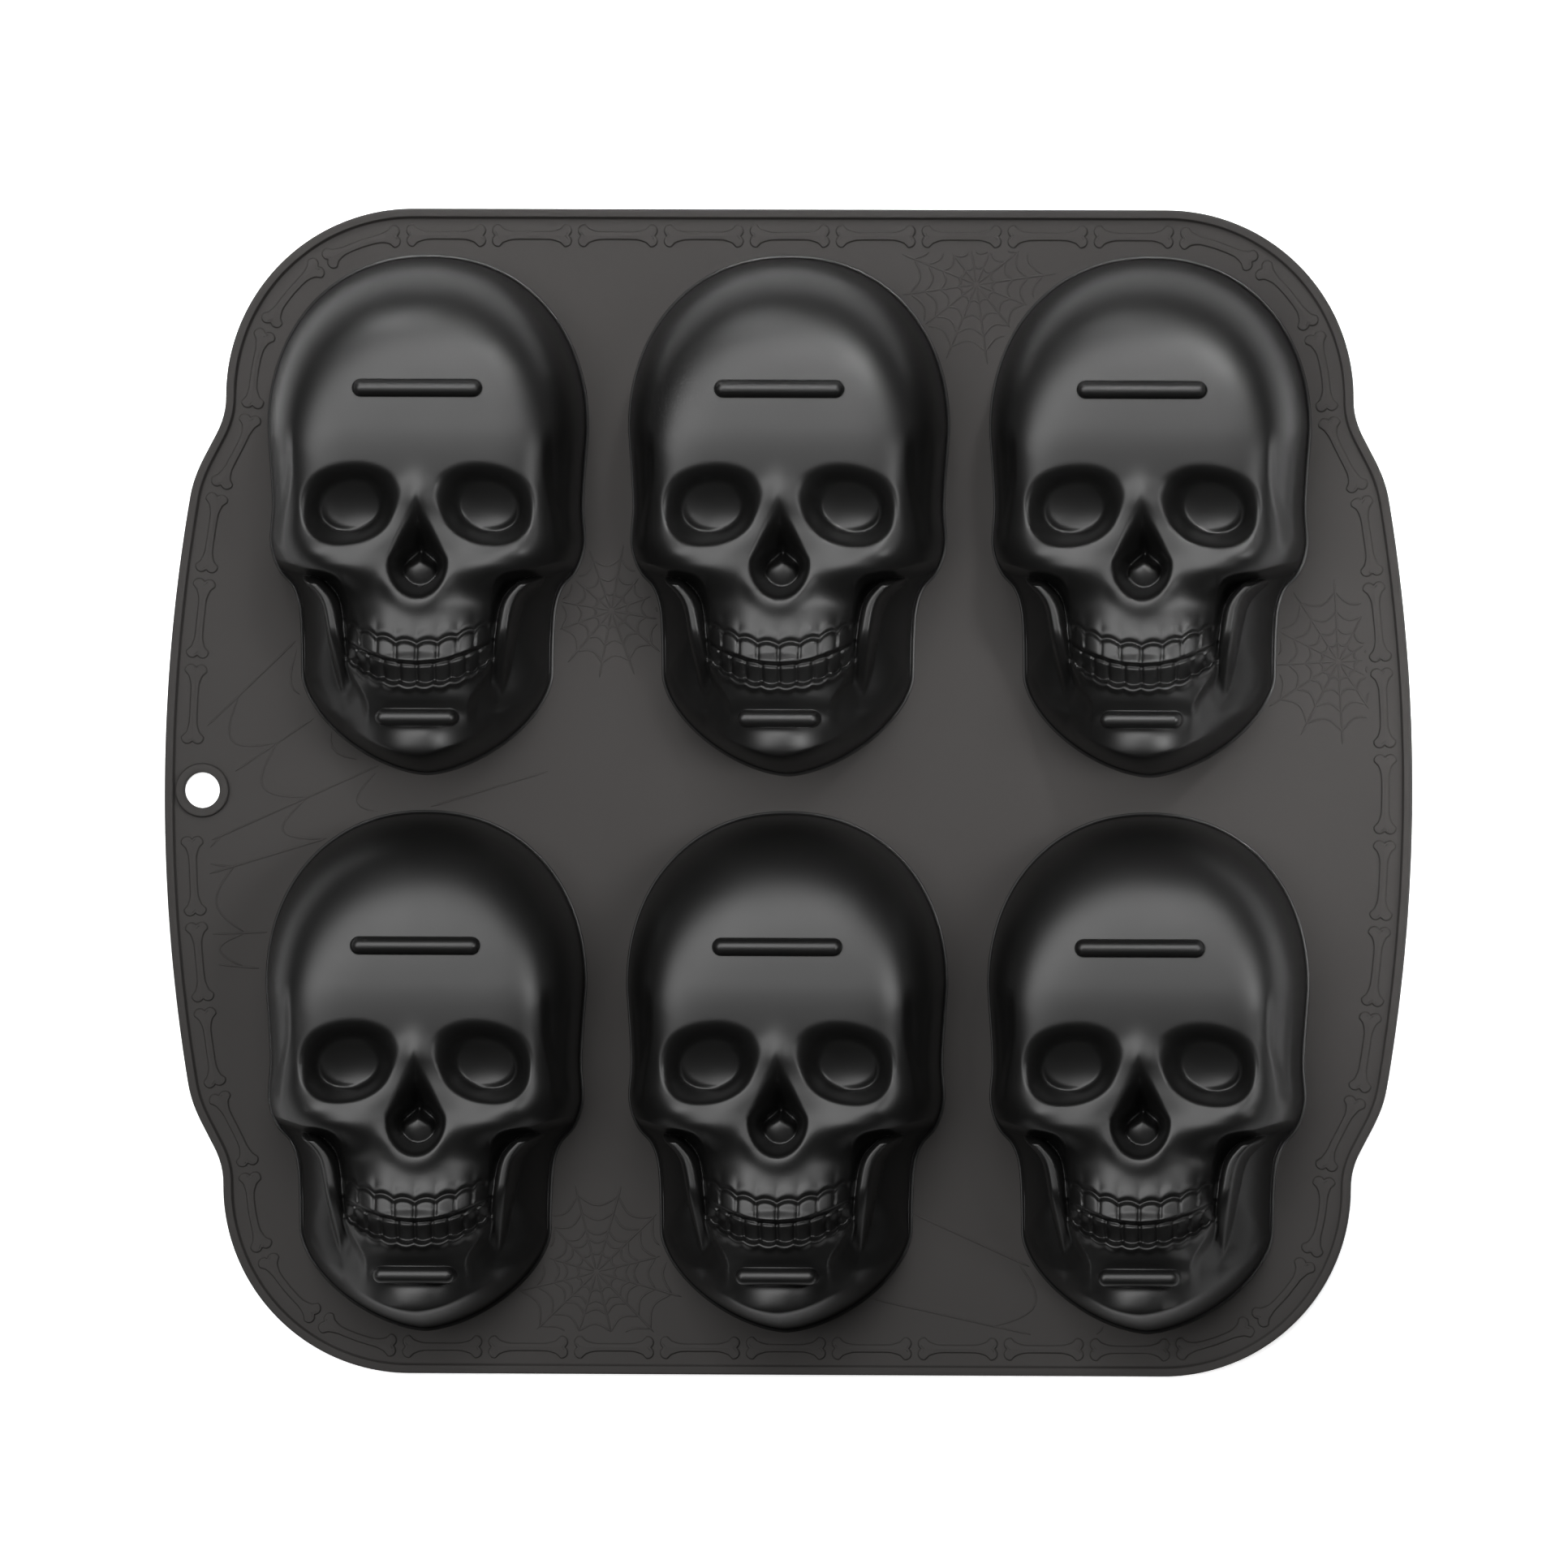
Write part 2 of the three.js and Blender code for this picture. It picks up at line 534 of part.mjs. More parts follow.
// Flat web of the tray with an opening into each cavity and the hanging hole
function webGeometry() {
  const shape = new THREE.Shape(trayOutline());
  const loop = gridLoop().map(([i, j]) => cupPoint(grid.cells[i][j], true));
  for (const { x, y } of skullCentres()) {
    shape.holes.push(new THREE.Path(loop.map((p) => new THREE.Vector2(p[0] + x, p[1] + y))));
  }
  const bore = new THREE.Path();
  bore.absarc(HANG_X, 0, HANG_BORE / 2, 0, 2 * Math.PI);
  shape.holes.push(new THREE.Path(bore.getSpacedPoints(ROUND_STEPS).slice(0, -1)));
  return new THREE.ExtrudeGeometry(shape, { depth: WEB_THICKNESS, bevelEnabled: false });
}

// Raised bead along the tray's edge
function rimGeometry() {
  const outline = trayOutline();
  const shape = new THREE.Shape(outline);
  shape.holes.push(new THREE.Path(insetOutline(outline, RIM_WIDTH)));
  return new THREE.ExtrudeGeometry(shape, { depth: RIM_RISE, bevelEnabled: false });
}

// Raised ring round the hanging hole
function hangingRingGeometry() {
  const inner = HANG_BORE / 2;
  const outer = HANG_RING_RADIUS;
  const c = HANG_RING_CHAMFER;
  const profile = [
    [inner, 0], [outer, 0], [outer, HANG_RING_RISE - c], [outer - c, HANG_RING_RISE],
    [inner + c, HANG_RING_RISE], [inner, HANG_RING_RISE - c], [inner, 0],
  ].map(([r, z]) => new THREE.Vector2(r, z));
  const ring = new THREE.LatheGeometry(profile, ROUND_STEPS);
  ring.rotateX(Math.PI / 2);
  return ring;
}

function piece(name, geometry, look) {
  const mesh = new THREE.Mesh(geometry, new THREE.MeshStandardMaterial(look));
  mesh.name = name;
  return mesh;
}

const group = new THREE.Group();
group.add(piece('web_plate', webGeometry(), webSilicone));

const rim = piece('rim_bead', rimGeometry(), webSilicone);
rim.position.z = WEB_THICKNESS;
group.add(rim);

const ring = piece('hanging_ring', hangingRingGeometry(), webSilicone);
ring.position.set(HANG_X, 0, WEB_THICKNESS);
group.add(ring);

const skullOutside = skullSolid(false);
const cup = fromSolid(skullOutside.subtract(skullSolid(true)).trimByPlane([0, 0, 1], 0));
const ribSeat = skullOutside.translate([0, 0, SEAM]);
const foreheadRib = ribGeometry(FOREHEAD_RIB_LENGTH, SKULL_TOP - FOREHEAD_RIB_INSET, ribSeat);
const chinRib = ribGeometry(CHIN_RIB_LENGTH, SKULL_BOTTOM + CHIN_RIB_INSET, ribSeat);
skullCentres().forEach(({ x, y }, i) => {
  const skull = new THREE.Group();
  skull.position.set(x, y, WEB_THICKNESS);
  skull.add(piece(`skull_cup_${i + 1}`, cup, silicone));
  skull.add(piece(`forehead_rib_${i + 1}`, foreheadRib, silicone));
  skull.add(piece(`chin_rib_${i + 1}`, chinRib, silicone));
  group.add(skull);
});

export default group;
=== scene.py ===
"""Silicone baking mould with six hollow skulls, lying upside down with its cups up.

The flat face of the tray is on Z = 0, +Y points to the crowns and +X to the right. Shapes are
worked out in millimetres and turned into metres where a mesh is made.
"""

import math
from types import SimpleNamespace as Shape

import bpy
import numpy as np
from bpy.props import FloatProperty, FloatVectorProperty, IntProperty, PointerProperty
from mathutils import Matrix, Vector
from mathutils.geometry import tessellate_polygon


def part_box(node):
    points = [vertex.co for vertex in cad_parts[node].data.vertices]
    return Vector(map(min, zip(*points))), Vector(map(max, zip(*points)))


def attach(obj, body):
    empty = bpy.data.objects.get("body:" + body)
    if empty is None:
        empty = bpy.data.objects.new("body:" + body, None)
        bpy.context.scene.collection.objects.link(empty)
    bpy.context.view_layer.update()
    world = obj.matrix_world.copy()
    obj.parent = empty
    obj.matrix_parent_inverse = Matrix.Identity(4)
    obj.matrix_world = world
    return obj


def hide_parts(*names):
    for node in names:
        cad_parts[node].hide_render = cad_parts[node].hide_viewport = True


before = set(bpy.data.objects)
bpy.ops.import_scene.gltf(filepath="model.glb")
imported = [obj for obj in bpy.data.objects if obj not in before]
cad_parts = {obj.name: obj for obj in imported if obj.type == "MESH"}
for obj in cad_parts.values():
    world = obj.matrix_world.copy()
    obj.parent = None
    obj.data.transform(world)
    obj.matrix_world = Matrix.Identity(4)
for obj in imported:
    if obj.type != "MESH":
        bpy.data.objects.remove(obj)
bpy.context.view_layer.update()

bl_info = {
    "name": "Skull mould",
    "version": (1, 0, 0),
    "blender": (4, 5, 0),
    "location": "3D View > Sidebar > Mould",
    "description": "Builds a silicone mould with skull cups, its relief, finish and studio",
    "category": "Object",
}

MM = 0.001
TRAY_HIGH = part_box("rim_bead")[1]
WEB_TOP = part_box("web_plate")[1].z / MM
PANEL_TAB = "Mould"
CUPS = range(1, 7)

# Outline of one skull at its foot, in millimetres from the skull's centre
SKULL = Shape(half_width=37.2, crown_y=20.0, crown_rise=40.2, crown_power=2.15,
              jaw_y=-38.0, jaw_half_width=29.0, chin_drop=23.0, chin_power=1.62)
SKULL_SIDE = ((36.1, 2.0), (36.5, -7.5), (34.6, -13.2), (31.4, -17.0), (29.7, -22.0))
SKULL_TOP = SKULL.crown_y + SKULL.crown_rise
SKULL_BOTTOM = SKULL.jaw_y - SKULL.chin_drop

# Dome of the cup: its power along, what is added to it across, and from what share of the outline's
# radius the face fades and the flank is the dome's own
DOME = Shape(power=5.6, across=3.4, face_edge=0.84, flank_edge=0.93)

# Relief of the face on its right half, mirrored to the left. Most pairs say where a form begins to
# come or go and where it has done so. The nose's power and wall_to hold for above and below. A
# depth is measured down from the crown.
FACE = Shape(drop=1.8, slope=(20.5, -4.0), fade=(-44.0, -20.0))
EYE = Shape(x=16.3, y=0.9, half_width=9.3, half_height=7.3, power=2.15, droop=0.1, slope=3.6,
            step=1.6, lip=5.2, brow=8.0, brow_over=(-2.0, 9.0), moat=17.0,
            rim=0.3, rim_out=3.4, rim_width=3.2, rim_over=(9.0, 2.0), cheeks_over=(0.9, 1.2))
EYE_REACH = (EYE.half_width + EYE.half_height) / 2
EYEBALL = Shape(x=15.0, y=1.4, half_width=7.8, half_height=5.4, power=2.2, dish=1.3, tilt=0.34,
                edge=0.92, fall=12.0, fall_power=1.5, blend=3.0)
CHEEKBONE = Shape(x=24.0, y=-10.2, size=4.2, stretch=1.4, rise=1.3)
CHEEK_RIDGE = Shape(x=15.5, y=-13.4, size=3.8, stretch=1.9, rise=1.2)
CHEEK_DIMPLE = Shape(x=13.0, y=-20.5, size=4.4, stretch=1.2, rise=-1.0)
NASAL_BONE = Shape(y=3.8, width=3.0, height=4.2, rise=1.0)
NOSE = Shape(y=-11.0, half_width=6.0, above=13.4, below=7.8, power=(1.05, 2.0), wall_from=-0.28,
             wall_to=(0.85, 0.42), narrow=(-8.0, -13.0), shallow=0.65, top=(-11.0, 1.5), soft=1.5,
             rim=0.7, rim_out=2.0, rim_width=1.9, rim_over=(-12.0, -18.0))
NOSE_BALL = Shape(y=-14.9, height=23.6, roll=0.07, tilt=0.3, edge=(3.2, 5.6), drop=5.0,
                  spade=0.4, spade_width=2.0, spade_over=(-13.5, -11.0), blend=0.9)
SEPTUM = Shape(rise=0.9, width=0.6, top=(-1.0, -3.0), bottom=(-9.0, -11.0))
TEMPLE = Shape(x=30.2, spread=2.2, spread_over=(10.0, -5.0), edge=(-0.8, 1.4), top=(21.0, 12.0),
               bottom=(-9.0, -4.0), depth=2.4, fade=0.94)
JAW_GAP = Shape(x=16.8, y=-13.2, turn_x=27.0, turn=0.28, corner=6.0, edge=(-0.6, 2.0),
                fade=(-34.0, -54.0), inward=5.0, inward_over=(-35.0, -46.0))
RAMUS = Shape(height=0.72, power=3.4, fall=0.8)
TOOTH_ARCH = Shape(half_width=17.3, fall=6.5, top=(-12.0, -24.0), bottom=(-40.0, -47.0))
JAW_BRANCH = Shape(x=19.2, y=-33.0, lean=0.16, hook=4.6, hook_y=-14.0, hook_height=4.5, below=5.6,
                   slope=-0.06, edge=0.32, sink=11.0, blend=1.4, top=(-12.5, -17.0), bottom=(-27.0, -44.0))
TEETH = Shape(arch=18.4, bite=-35.7, bend=0.0178, edge=0.5, groove=1.6, groove_width=0.42,
              root_top=(6.5, 1.5), root_foot=(0.0, 1.0), ends=(14.5, 18.6))
# A row's way is up or down from the bite, and its ridges are height, place past the gum and width
UPPER_TEETH = Shape(way=1.0, gum=-31.3, bend=(0.0173, 0.0), pitch=15.6, scallop=0.9, edge=(-0.9, 0.4),
                    rise=0.9, sides=0.5, power=8, slope=0.25, ridges=((-0.55, 0.1, 0.6), (0.2, 1.6, 1.3)),
                    root=0.15)
LOWER_TEETH = Shape(way=-1.0, gum=-40.2, bend=(0.013, 2.3e-5), pitch=12.8, scallop=0.6, edge=(-0.5, 0.1),
                    rise=-0.9, sides=0.9, power=6, slope=2.6, ridges=((0.8, 0.8, 0.8),), root=0.0)
CHIN = Shape(inset=15.5, half_width=20.0, below=15.9, above=15.0, across=2.2, along=9.0, depth=1.6,
             blend=5.0, crease=2.0, crease_y=-47.2, crease_width=2.8, crease_reach=12.0)

# Facets of a cup: cells over the outside and over the inside, and rings of the fillet at its foot
CUP_CELLS = (220, 310)
LINING_CELLS = (84, 124)
FOOT_RINGS = 6
# The cells crowd by a bell of centre, width and gain, and towards the foot by a share of a sine
COLUMN_CROWD = (0.0, 0.55, 0.5)
ROW_CROWD = (-0.42, 0.28, 1.0)
FOOT_CROWD = 0.55
# How deep a cup's foot is sunk in the web
SUNK = 0.1

# Inside of a cup: step for its slope, steepest slope, and the shares of the outline's radius from
# which the wall thins, is drawn in, and counts as the edge
LINING = Shape(step=0.2, steepest=1.7, thin=0.86, draw=0.72, edge=0.9999)

# Foot rib: fillet on the cup and how far round it goes, and how its skirt reaches out and down
RIB = Shape(fillet=0.3, fillet_turn=1.35, skirt=0.1, sunk=0.35)

# Tray outline, in millimetres, and its number of points
TRAY = Shape(corner=44.2, grip_bulge=14.2, grip_arc=418.6, slope=0.5225, setback=4.8, shoulder=1.6,
             hollow=2.2, points=640)

# Ornament: its depth in the web, and the step along the border's path that gives a bone's direction
RELIEF_SUNK = 0.05
BONE_STEP = 0.3
# Cobwebs: how far they keep from the hanging hole, the cups and the middle line of the bones, how
# far rings sag as a share of their radius, in whole webs and in fans, where spokes begin, the width
# of a strand's tip as a share, and the fewest points that make a strand
COBWEB = Shape(off_hole=8.0, off_cup=1.6, off_bones=3.4, sag=0.16, fan_sag=0.1, eye=0.6, tip=0.3, least=3)

# Floor's reach and its drop below the tray in metres, with its glow, and the camera's aim
FLOOR = Shape(reach=4.0, drop=0.0002, glow=0.75)
CAMERA_AIM = (-0.00105, 0.00192, 0.0)

# Small cobwebs: centre x and y, spokes, turn in degrees, radii of the rings, length of the spokes
COBWEBS = (
    (44.2, 119.9, 12, 8.0, (4.5, 8.7, 12.4, 16.0), 19.0),
    (-44.9, -113.4, 12, 14.0, (5.0, 8.2, 10.5, 14.6, 18.7), 21.0),
    (130.0, 31.2, 12, 3.0, (4.6, 8.0, 12.0, 16.5), 19.5),
    (-41.9, 42.7, 12, 20.0, (4.4, 8.4, 12.6), 16.0),
)
# Parts of large cobwebs: centre x and y, angles of the spokes, radii of the rings, where spokes
# begin and end
WEB_FANS = (
    (-190.7, -36.2, (44.0, 34.2, 24.2, 17.0, 2.3, -5.1), (62.5, 84.5, 105.5), 45.0, 140.0),
    (126.9, -142.9, (167.6, 155.8), (60.7, 79.5), 30.0, 110.0),
)


def ease(value, start, end):
    """Smooth step: 0 at start, 1 at end, as t squared times three less two t."""
    t = np.clip((value - start) / (end - start), 0.0, 1.0)
    return t * t * (3.0 - 2.0 * t)


def bell(distance, width):
    """Bell curve: e to the minus square of distance over width."""
    return np.exp(-((distance / width) ** 2))


def round_max(a, b, k):
    """The larger of two heights, with the corner between them rounded over k."""
    h = np.clip(0.5 + 0.5 * (a - b) / k, 0.0, 1.0)
    return b + (a - b) * h + k * h * (1.0 - h)


def oval(x, y, half_width, half_height, power):
    """Superellipse measure: 1 on the oval, less inside it, growing in proportion outwards."""
    return (np.abs(x / half_width) ** power + np.abs(y / half_height) ** power) ** (1.0 / power)


def bump(a, y, spot):
    """Round bump of the spot's rise, drawn out sideways by its stretch."""
    return spot.rise * bell(np.hypot((a - spot.x) / spot.stretch, y - spot.y), spot.size)


def distances(path, power=1.0):
    """Distance of each point along a path, as the running sum of its steps to a power."""
    return np.r_[0.0, np.cumsum(np.linalg.norm(np.diff(path, axis=0), axis=1) ** power)]


def smooth_through(points, count):
    """Curve of centripetal pieces through the points: a cubic between each pair, its end slopes
    taken from the neighbours."""
    points = np.asarray(points, float)
    along = distances(points, 0.5)
    slope = np.gradient(points, along, axis=0)
    at = np.linspace(0.0, along[-1], count)
    i = np.clip(np.searchsorted(along, at, side="right") - 1, 0, len(along) - 2)
    h = (along[i + 1] - along[i])[:, None]
    s = ((at - along[i])[:, None]) / h
    return ((2 * s**3 - 3 * s**2 + 1) * points[i] + (s**3 - 2 * s**2 + s) * h * slope[i]
            + (3 * s**2 - 2 * s**3) * points[i + 1] + (s**3 - s**2) * h * slope[i + 1])


def skull_outline():
    """Angle and radius of the skull's right half outline: a superellipse quarter for the crown, a
    curve through the side points, and a superellipse quarter for the chin."""
    turn = np.linspace(np.pi / 2, 0.0, 90)
    crown = np.c_[SKULL.half_width * np.cos(turn) ** (2 / SKULL.crown_power),
                  SKULL.crown_y + SKULL.crown_rise * np.sin(turn) ** (2 / SKULL.crown_power)]
    turn = turn[::-1]
    chin = np.c_[SKULL.jaw_half_width * np.cos(turn) ** (2 / SKULL.chin_power),
                 SKULL.jaw_y - SKULL.chin_drop * np.sin(turn) ** (2 / SKULL.chin_power)]
    side = smooth_through([crown[-2], crown[-1], *SKULL_SIDE, chin[0], chin[1]], 160)
    half = np.vstack([crown[:-2], side, chin[2:]])
    angle = np.arctan2(half[:, 1], half[:, 0])
    order = np.argsort(angle)
    return angle[order], np.hypot(half[:, 0], half[:, 1])[order]


OUTLINE_ANGLE, OUTLINE_RADIUS = skull_outline()


def outline_radius(x, y):
    """Distance from the skull's centre to its outline along the direction of (x, y)."""
    return np.interp(np.arctan2(y, np.abs(x)), OUTLINE_ANGLE, OUTLINE_RADIUS)


def face_height(a, y, depth, edge):
    """Set-back of the face below the forehead, nasal bones, socket rims and cheeks over the dome:
    each bone is a bell-shaped bump."""
    back = FACE.drop * ease(y, *FACE.slope) * ease(y, *FACE.fade)
    bridge = NASAL_BONE.rise * bell(a, NASAL_BONE.width) * bell(y - NASAL_BONE.y, NASAL_BONE.height)
    out = eye_measure(a, y)
    rim = EYE.rim * bell((out - 1) * EYE_REACH - EYE.rim_out, EYE.rim_width) * ease(y, *EYE.rim_over)
    bones = bump(a, y, CHEEKBONE) + bump(a, y, CHEEK_RIDGE)
    bones = bones * ease(out, *EYE.cheeks_over) + bump(a, y, CHEEK_DIMPLE)
    return depth + (rim - back) * edge + bridge + bones


def eye_measure(a, y):
    """Oval measure of the socket's edge, drooping outwards."""
    dx = a - EYE.x
    return oval(dx, y - EYE.y + EYE.droop * dx, EYE.half_width, EYE.half_height, EYE.power)


def sink_eye(z, a, y, depth, ball_depth):
    """Socket: a wall as steep as its slope, rounded into the face and more so under the brow, down
    to a moat; in it the closed eyeball, a tilted dish whose edge falls away."""
    out = (eye_measure(a, y) - 1.0) * EYE_REACH
    lip = EYE.lip + EYE.brow * ease(y, *EYE.brow_over)
    wall = z - round_max(EYE.step - EYE.slope * out, 0.0, lip)
    wall = np.minimum(z, np.maximum(wall, depth - EYE.moat))
    dy = y - EYEBALL.y
    inner = oval(a - EYEBALL.x, dy, EYEBALL.half_width, EYEBALL.half_height, EYEBALL.power)
    ball = depth - ball_depth + EYEBALL.tilt * dy + EYEBALL.dish * np.minimum(inner, 1.0) ** 2
    ball = ball - EYEBALL.fall * np.clip(inner - EYEBALL.edge, 0.0, None) ** EYEBALL.fall_power
    return np.where(out < EYE.lip, round_max(wall, ball, EYEBALL.blend), wall)


def sink_nose(z, a, y, depth):
    """Nose: an egg-shaped opening with steep walls, a thin septum in its upper part, and a
    spade-shaped swelling on its floor."""
    upper = y > NOSE.y
    tall = np.where(upper, NOSE.above, NOSE.below)
    out = oval(a, y - NOSE.y, NOSE.half_width, tall, np.where(upper, *NOSE.power))
    rim = bell((out - 1) * NOSE.half_width - NOSE.rim_out, NOSE.rim_width) * ease(y, *NOSE.rim_over)
    foot = NOSE.wall_to[0] + (NOSE.wall_to[1] - NOSE.wall_to[0]) * ease(y, *NOSE.narrow)
    sink = ease(1.0 - out, NOSE.wall_from, foot) ** NOSE.soft
    pit = z + NOSE.rim * rim - depth * (1.0 - NOSE.shallow * ease(y, *NOSE.top)) * sink
    spade = NOSE_BALL.spade * ease(y, *NOSE_BALL.spade_over) * np.clip(a, 0.0, NOSE_BALL.spade_width)
    reach = np.hypot(a, y - NOSE_BALL.y) + spade
    ball = NOSE_BALL.height + NOSE_BALL.tilt * (y - NOSE_BALL.y) - NOSE_BALL.roll * reach**2
    ball = ball - NOSE_BALL.drop * ease(reach, *NOSE_BALL.edge)
    septum = bell(a, SEPTUM.width) * ease(y, *SEPTUM.top) * (1.0 - ease(y, *SEPTUM.bottom))
    return round_max(pit, ball, NOSE_BALL.blend) + SEPTUM.rise * septum


def jaw_gap(a, y):
    """Share of the low side of the jaw, behind and below the upper jaw: 1 well inside the corner of
    a hyperbola, fading out towards the chin."""
    out = a - JAW_GAP.x + JAW_GAP.inward * ease(y, *JAW_GAP.inward_over)
    down = JAW_GAP.y + JAW_GAP.turn * np.clip(a - JAW_GAP.turn_x, 0.0, None) - y
    past = (out * down - JAW_GAP.corner) / np.maximum(np.hypot(out, down), 1e-6)
    past = np.where((out > 0) & (down > 0), past, -1.0)
    return ease(past, *JAW_GAP.edge) * (1.0 - ease(y, *JAW_GAP.fade))


def carve_sides(z, a, y, rho, gap, depth):
    """Hollow temples, the rolled tooth arch, and the front edge of the jaw's upright branch: a crest
    of its own whose sides fall with the fourth power of the distance."""
    out = a - TEMPLE.x - TEMPLE.spread * ease(y, *TEMPLE.spread_over)
    temple = ease(out, *TEMPLE.edge) * ease(y, *TEMPLE.top) * ease(y, *TEMPLE.bottom)
    temple = TEMPLE.depth * temple * (1.0 - ease(rho, TEMPLE.fade, 1.0))
    arch = ease(y, *TOOTH_ARCH.top) * (1.0 - ease(y, *TOOTH_ARCH.bottom))
    roll = TOOTH_ARCH.fall * np.clip(a / TOOTH_ARCH.half_width, 0.0, 1.0) ** 4 * arch * (1.0 - gap)
    hook = JAW_BRANCH.hook * bell(y - JAW_BRANCH.hook_y, JAW_BRANCH.hook_height)
    off = a - JAW_BRANCH.x - JAW_BRANCH.lean * (y - JAW_BRANCH.y) - hook
    branch = depth * ease(y, *JAW_BRANCH.top) - JAW_BRANCH.sink * ease(y, *JAW_BRANCH.bottom)
    branch = branch - JAW_BRANCH.below - JAW_BRANCH.slope * (y - JAW_BRANCH.y) - JAW_BRANCH.edge * off**4
    return round_max(z - temple - roll, branch, JAW_BRANCH.blend)


def raise_chin(z, a, y, depth):
    """Chin: a low superellipse dome of its own that grows out of the jaw, under a soft crease."""
    dy = y - SKULL_BOTTOM - CHIN.inset
    reach = np.abs(a / CHIN.half_width) ** CHIN.across
    reach = reach + np.abs(dy / np.where(dy < 0, CHIN.below, CHIN.above)) ** CHIN.along
    dome = (depth - CHIN.depth) * np.sqrt(np.clip(1.0 - reach, 0.0, None))
    crease = CHIN.crease * bell(y - CHIN.crease_y, CHIN.crease_width) * bell(a, CHIN.crease_reach)
    return round_max(z, dome, CHIN.blend) - crease


def tooth_row(x, y, bite, row):
    """Rise of one row of teeth: each tooth is one step of angle on a round arch, highest in its
    middle, and falls with a power towards its sides. The gum line is scalloped by the same steps,
    and bell-shaped ridges and the roots lie past it."""
    turn = np.degrees(np.arcsin(np.clip(np.abs(x) / TEETH.arch, 0.0, 1.0)))
    side = np.abs(2.0 * ((turn / row.pitch) % 1.0) - 1.0)
    gum = row.gum + row.bend[0] * x**2 + row.bend[1] * x**4 + row.way * row.scallop * (1.0 - side**2)
    from_bite, past_gum = row.way * (y - bite), row.way * (y - gum)
    share = np.clip(from_bite / np.maximum(row.way * (gum - bite), 0.1), 0.0, 1.0)
    crown = row.rise - row.sides * side**row.power - row.slope * share
    rise = crown * ease(from_bite, 0.0, TEETH.edge) * (1.0 - ease(past_gum, *row.edge))
    for height, place, width in row.ridges:
        rise = rise + height * bell(past_gum - place, width)
    roots = ease(past_gum, *TEETH.root_top) * ease(past_gum, *TEETH.root_foot)
    return rise + row.root * (0.5 - side**2) * roots


def raise_teeth(z, x, y, relief):
    """Both rows of teeth and the groove between them, faded out towards the ends of the arch."""
    bite = TEETH.bite + TEETH.bend * x**2
    rise = tooth_row(x, y, bite, UPPER_TEETH) + tooth_row(x, y, bite, LOWER_TEETH)
    rise = rise - TEETH.groove * bell(y - bite, TEETH.groove_width)
    return z + relief * rise * (1.0 - ease(np.abs(x), *TEETH.ends))


def skull_height(x, y, rho, sizes):
    """Height of the cup's outside over its foot: a dome that falls as the square root of one less
    a power of rho, flatter across than along, lowered at the sides of the jaw; the face is carved
    into it and faded out at the flank."""
    a = np.abs(x)
    depth = sizes.cup_depth / MM
    power = DOME.power + DOME.across * a**2 / np.maximum(a**2 + y**2, 1e-9)
    dome = depth * np.sqrt(np.clip(1.0 - rho**power, 0.0, None))
    ramus = depth * RAMUS.height * np.clip(1.0 - rho**RAMUS.power, 0.0, None) ** RAMUS.fall
    gap = jaw_gap(a, y)
    body = dome + (np.minimum(ramus, dome) - dome) * gap
    edge = (1.0 - ease(rho, DOME.face_edge, 1.0)) * (1.0 - gap)
    z = face_height(a, y, body, edge)
    z = sink_eye(z, a, y, depth, sizes.eye_depth / MM)
    z = carve_sides(z, a, y, rho, gap, depth)
    z = sink_nose(z, a, y, sizes.nose_depth / MM)
    z = raise_chin(z, a, y, depth)
    z = raise_teeth(z, x, y, sizes.tooth_relief)
    return z + (body - z) * ease(rho, DOME.flank_edge, 1.0)


def height_at(x, y, sizes):
    """Height of the cup's outside at any place inside its outline."""
    rho = np.clip(np.hypot(x, y) / outline_radius(x, y), 0.0, 1.0)
    return skull_height(x, y, rho, sizes)


def spaced(count, centre, width, gain):
    """Places from -1 to 1, closer together around a centre: the running sum of one plus a bell."""
    fine = np.linspace(-1.0, 1.0, 2001)
    total = np.cumsum(1.0 + gain * bell(fine - centre, width))
    total = (total - total[0]) / (total[-1] - total[0])
    return np.interp(np.linspace(0.0, 1.0, count + 1), total, fine)


def skull_grid(cells):
    """Square grid bent to the skull's outline: each side of the square becomes a quarter of the
    outline, and the cells crowd towards the foot, where the flank is steep."""
    s, t = np.meshgrid(spaced(cells[0], *COLUMN_CROWD), spaced(cells[1], *ROW_CROWD))
    dx, dy = s * np.sqrt(1.0 - t * t / 2.0), t * np.sqrt(1.0 - s * s / 2.0)
    reach = np.clip(np.hypot(dx, dy), 0.0, 1.0)
    rho = (1.0 - FOOT_CROWD) * reach + FOOT_CROWD * np.sin(reach * np.pi / 2.0)
    long = np.where(t > 0, SKULL_TOP, -SKULL_BOTTOM)
    angle = np.arctan2(dy * long, dx * SKULL.half_width)
    radius = rho * outline_radius(np.cos(angle), np.sin(angle))
    return radius * np.cos(angle), radius * np.sin(angle), rho


def grid_quads(rows, columns, first=0, flip=False):
    """Quads of a grid with that many rows and columns of points, numbered from first."""
    i, j = np.meshgrid(np.arange(rows - 1), np.arange(columns - 1), indexing="ij")
    a = (first + i * columns + j).ravel()
    quads = np.c_[a, a + 1, a + columns + 1, a + columns]
    return quads[:, ::-1] if flip else quads


def ring_numbers(count, size, first=0):
    """Numbers of the points of so many rings or rows, one to a row of the answer."""
    return np.arange(first, first + count * size).reshape(count, size)


def grid_edge(rows, columns, first=0):
    """Numbers of the points round a grid's edge, anticlockwise when rows run up."""
    n = ring_numbers(rows, columns, first)
    return np.r_[n[0, :-1], n[:-1, -1], n[-1, :0:-1], n[:0:-1, 0]]


def ring_quads(first_ring, second_ring, flip=False):
    """Quads between two closed rings of points with as many points each."""
    quads = np.c_[first_ring, second_ring, np.roll(second_ring, -1), np.roll(first_ring, -1)]
    return quads[:, ::-1] if flip else quads


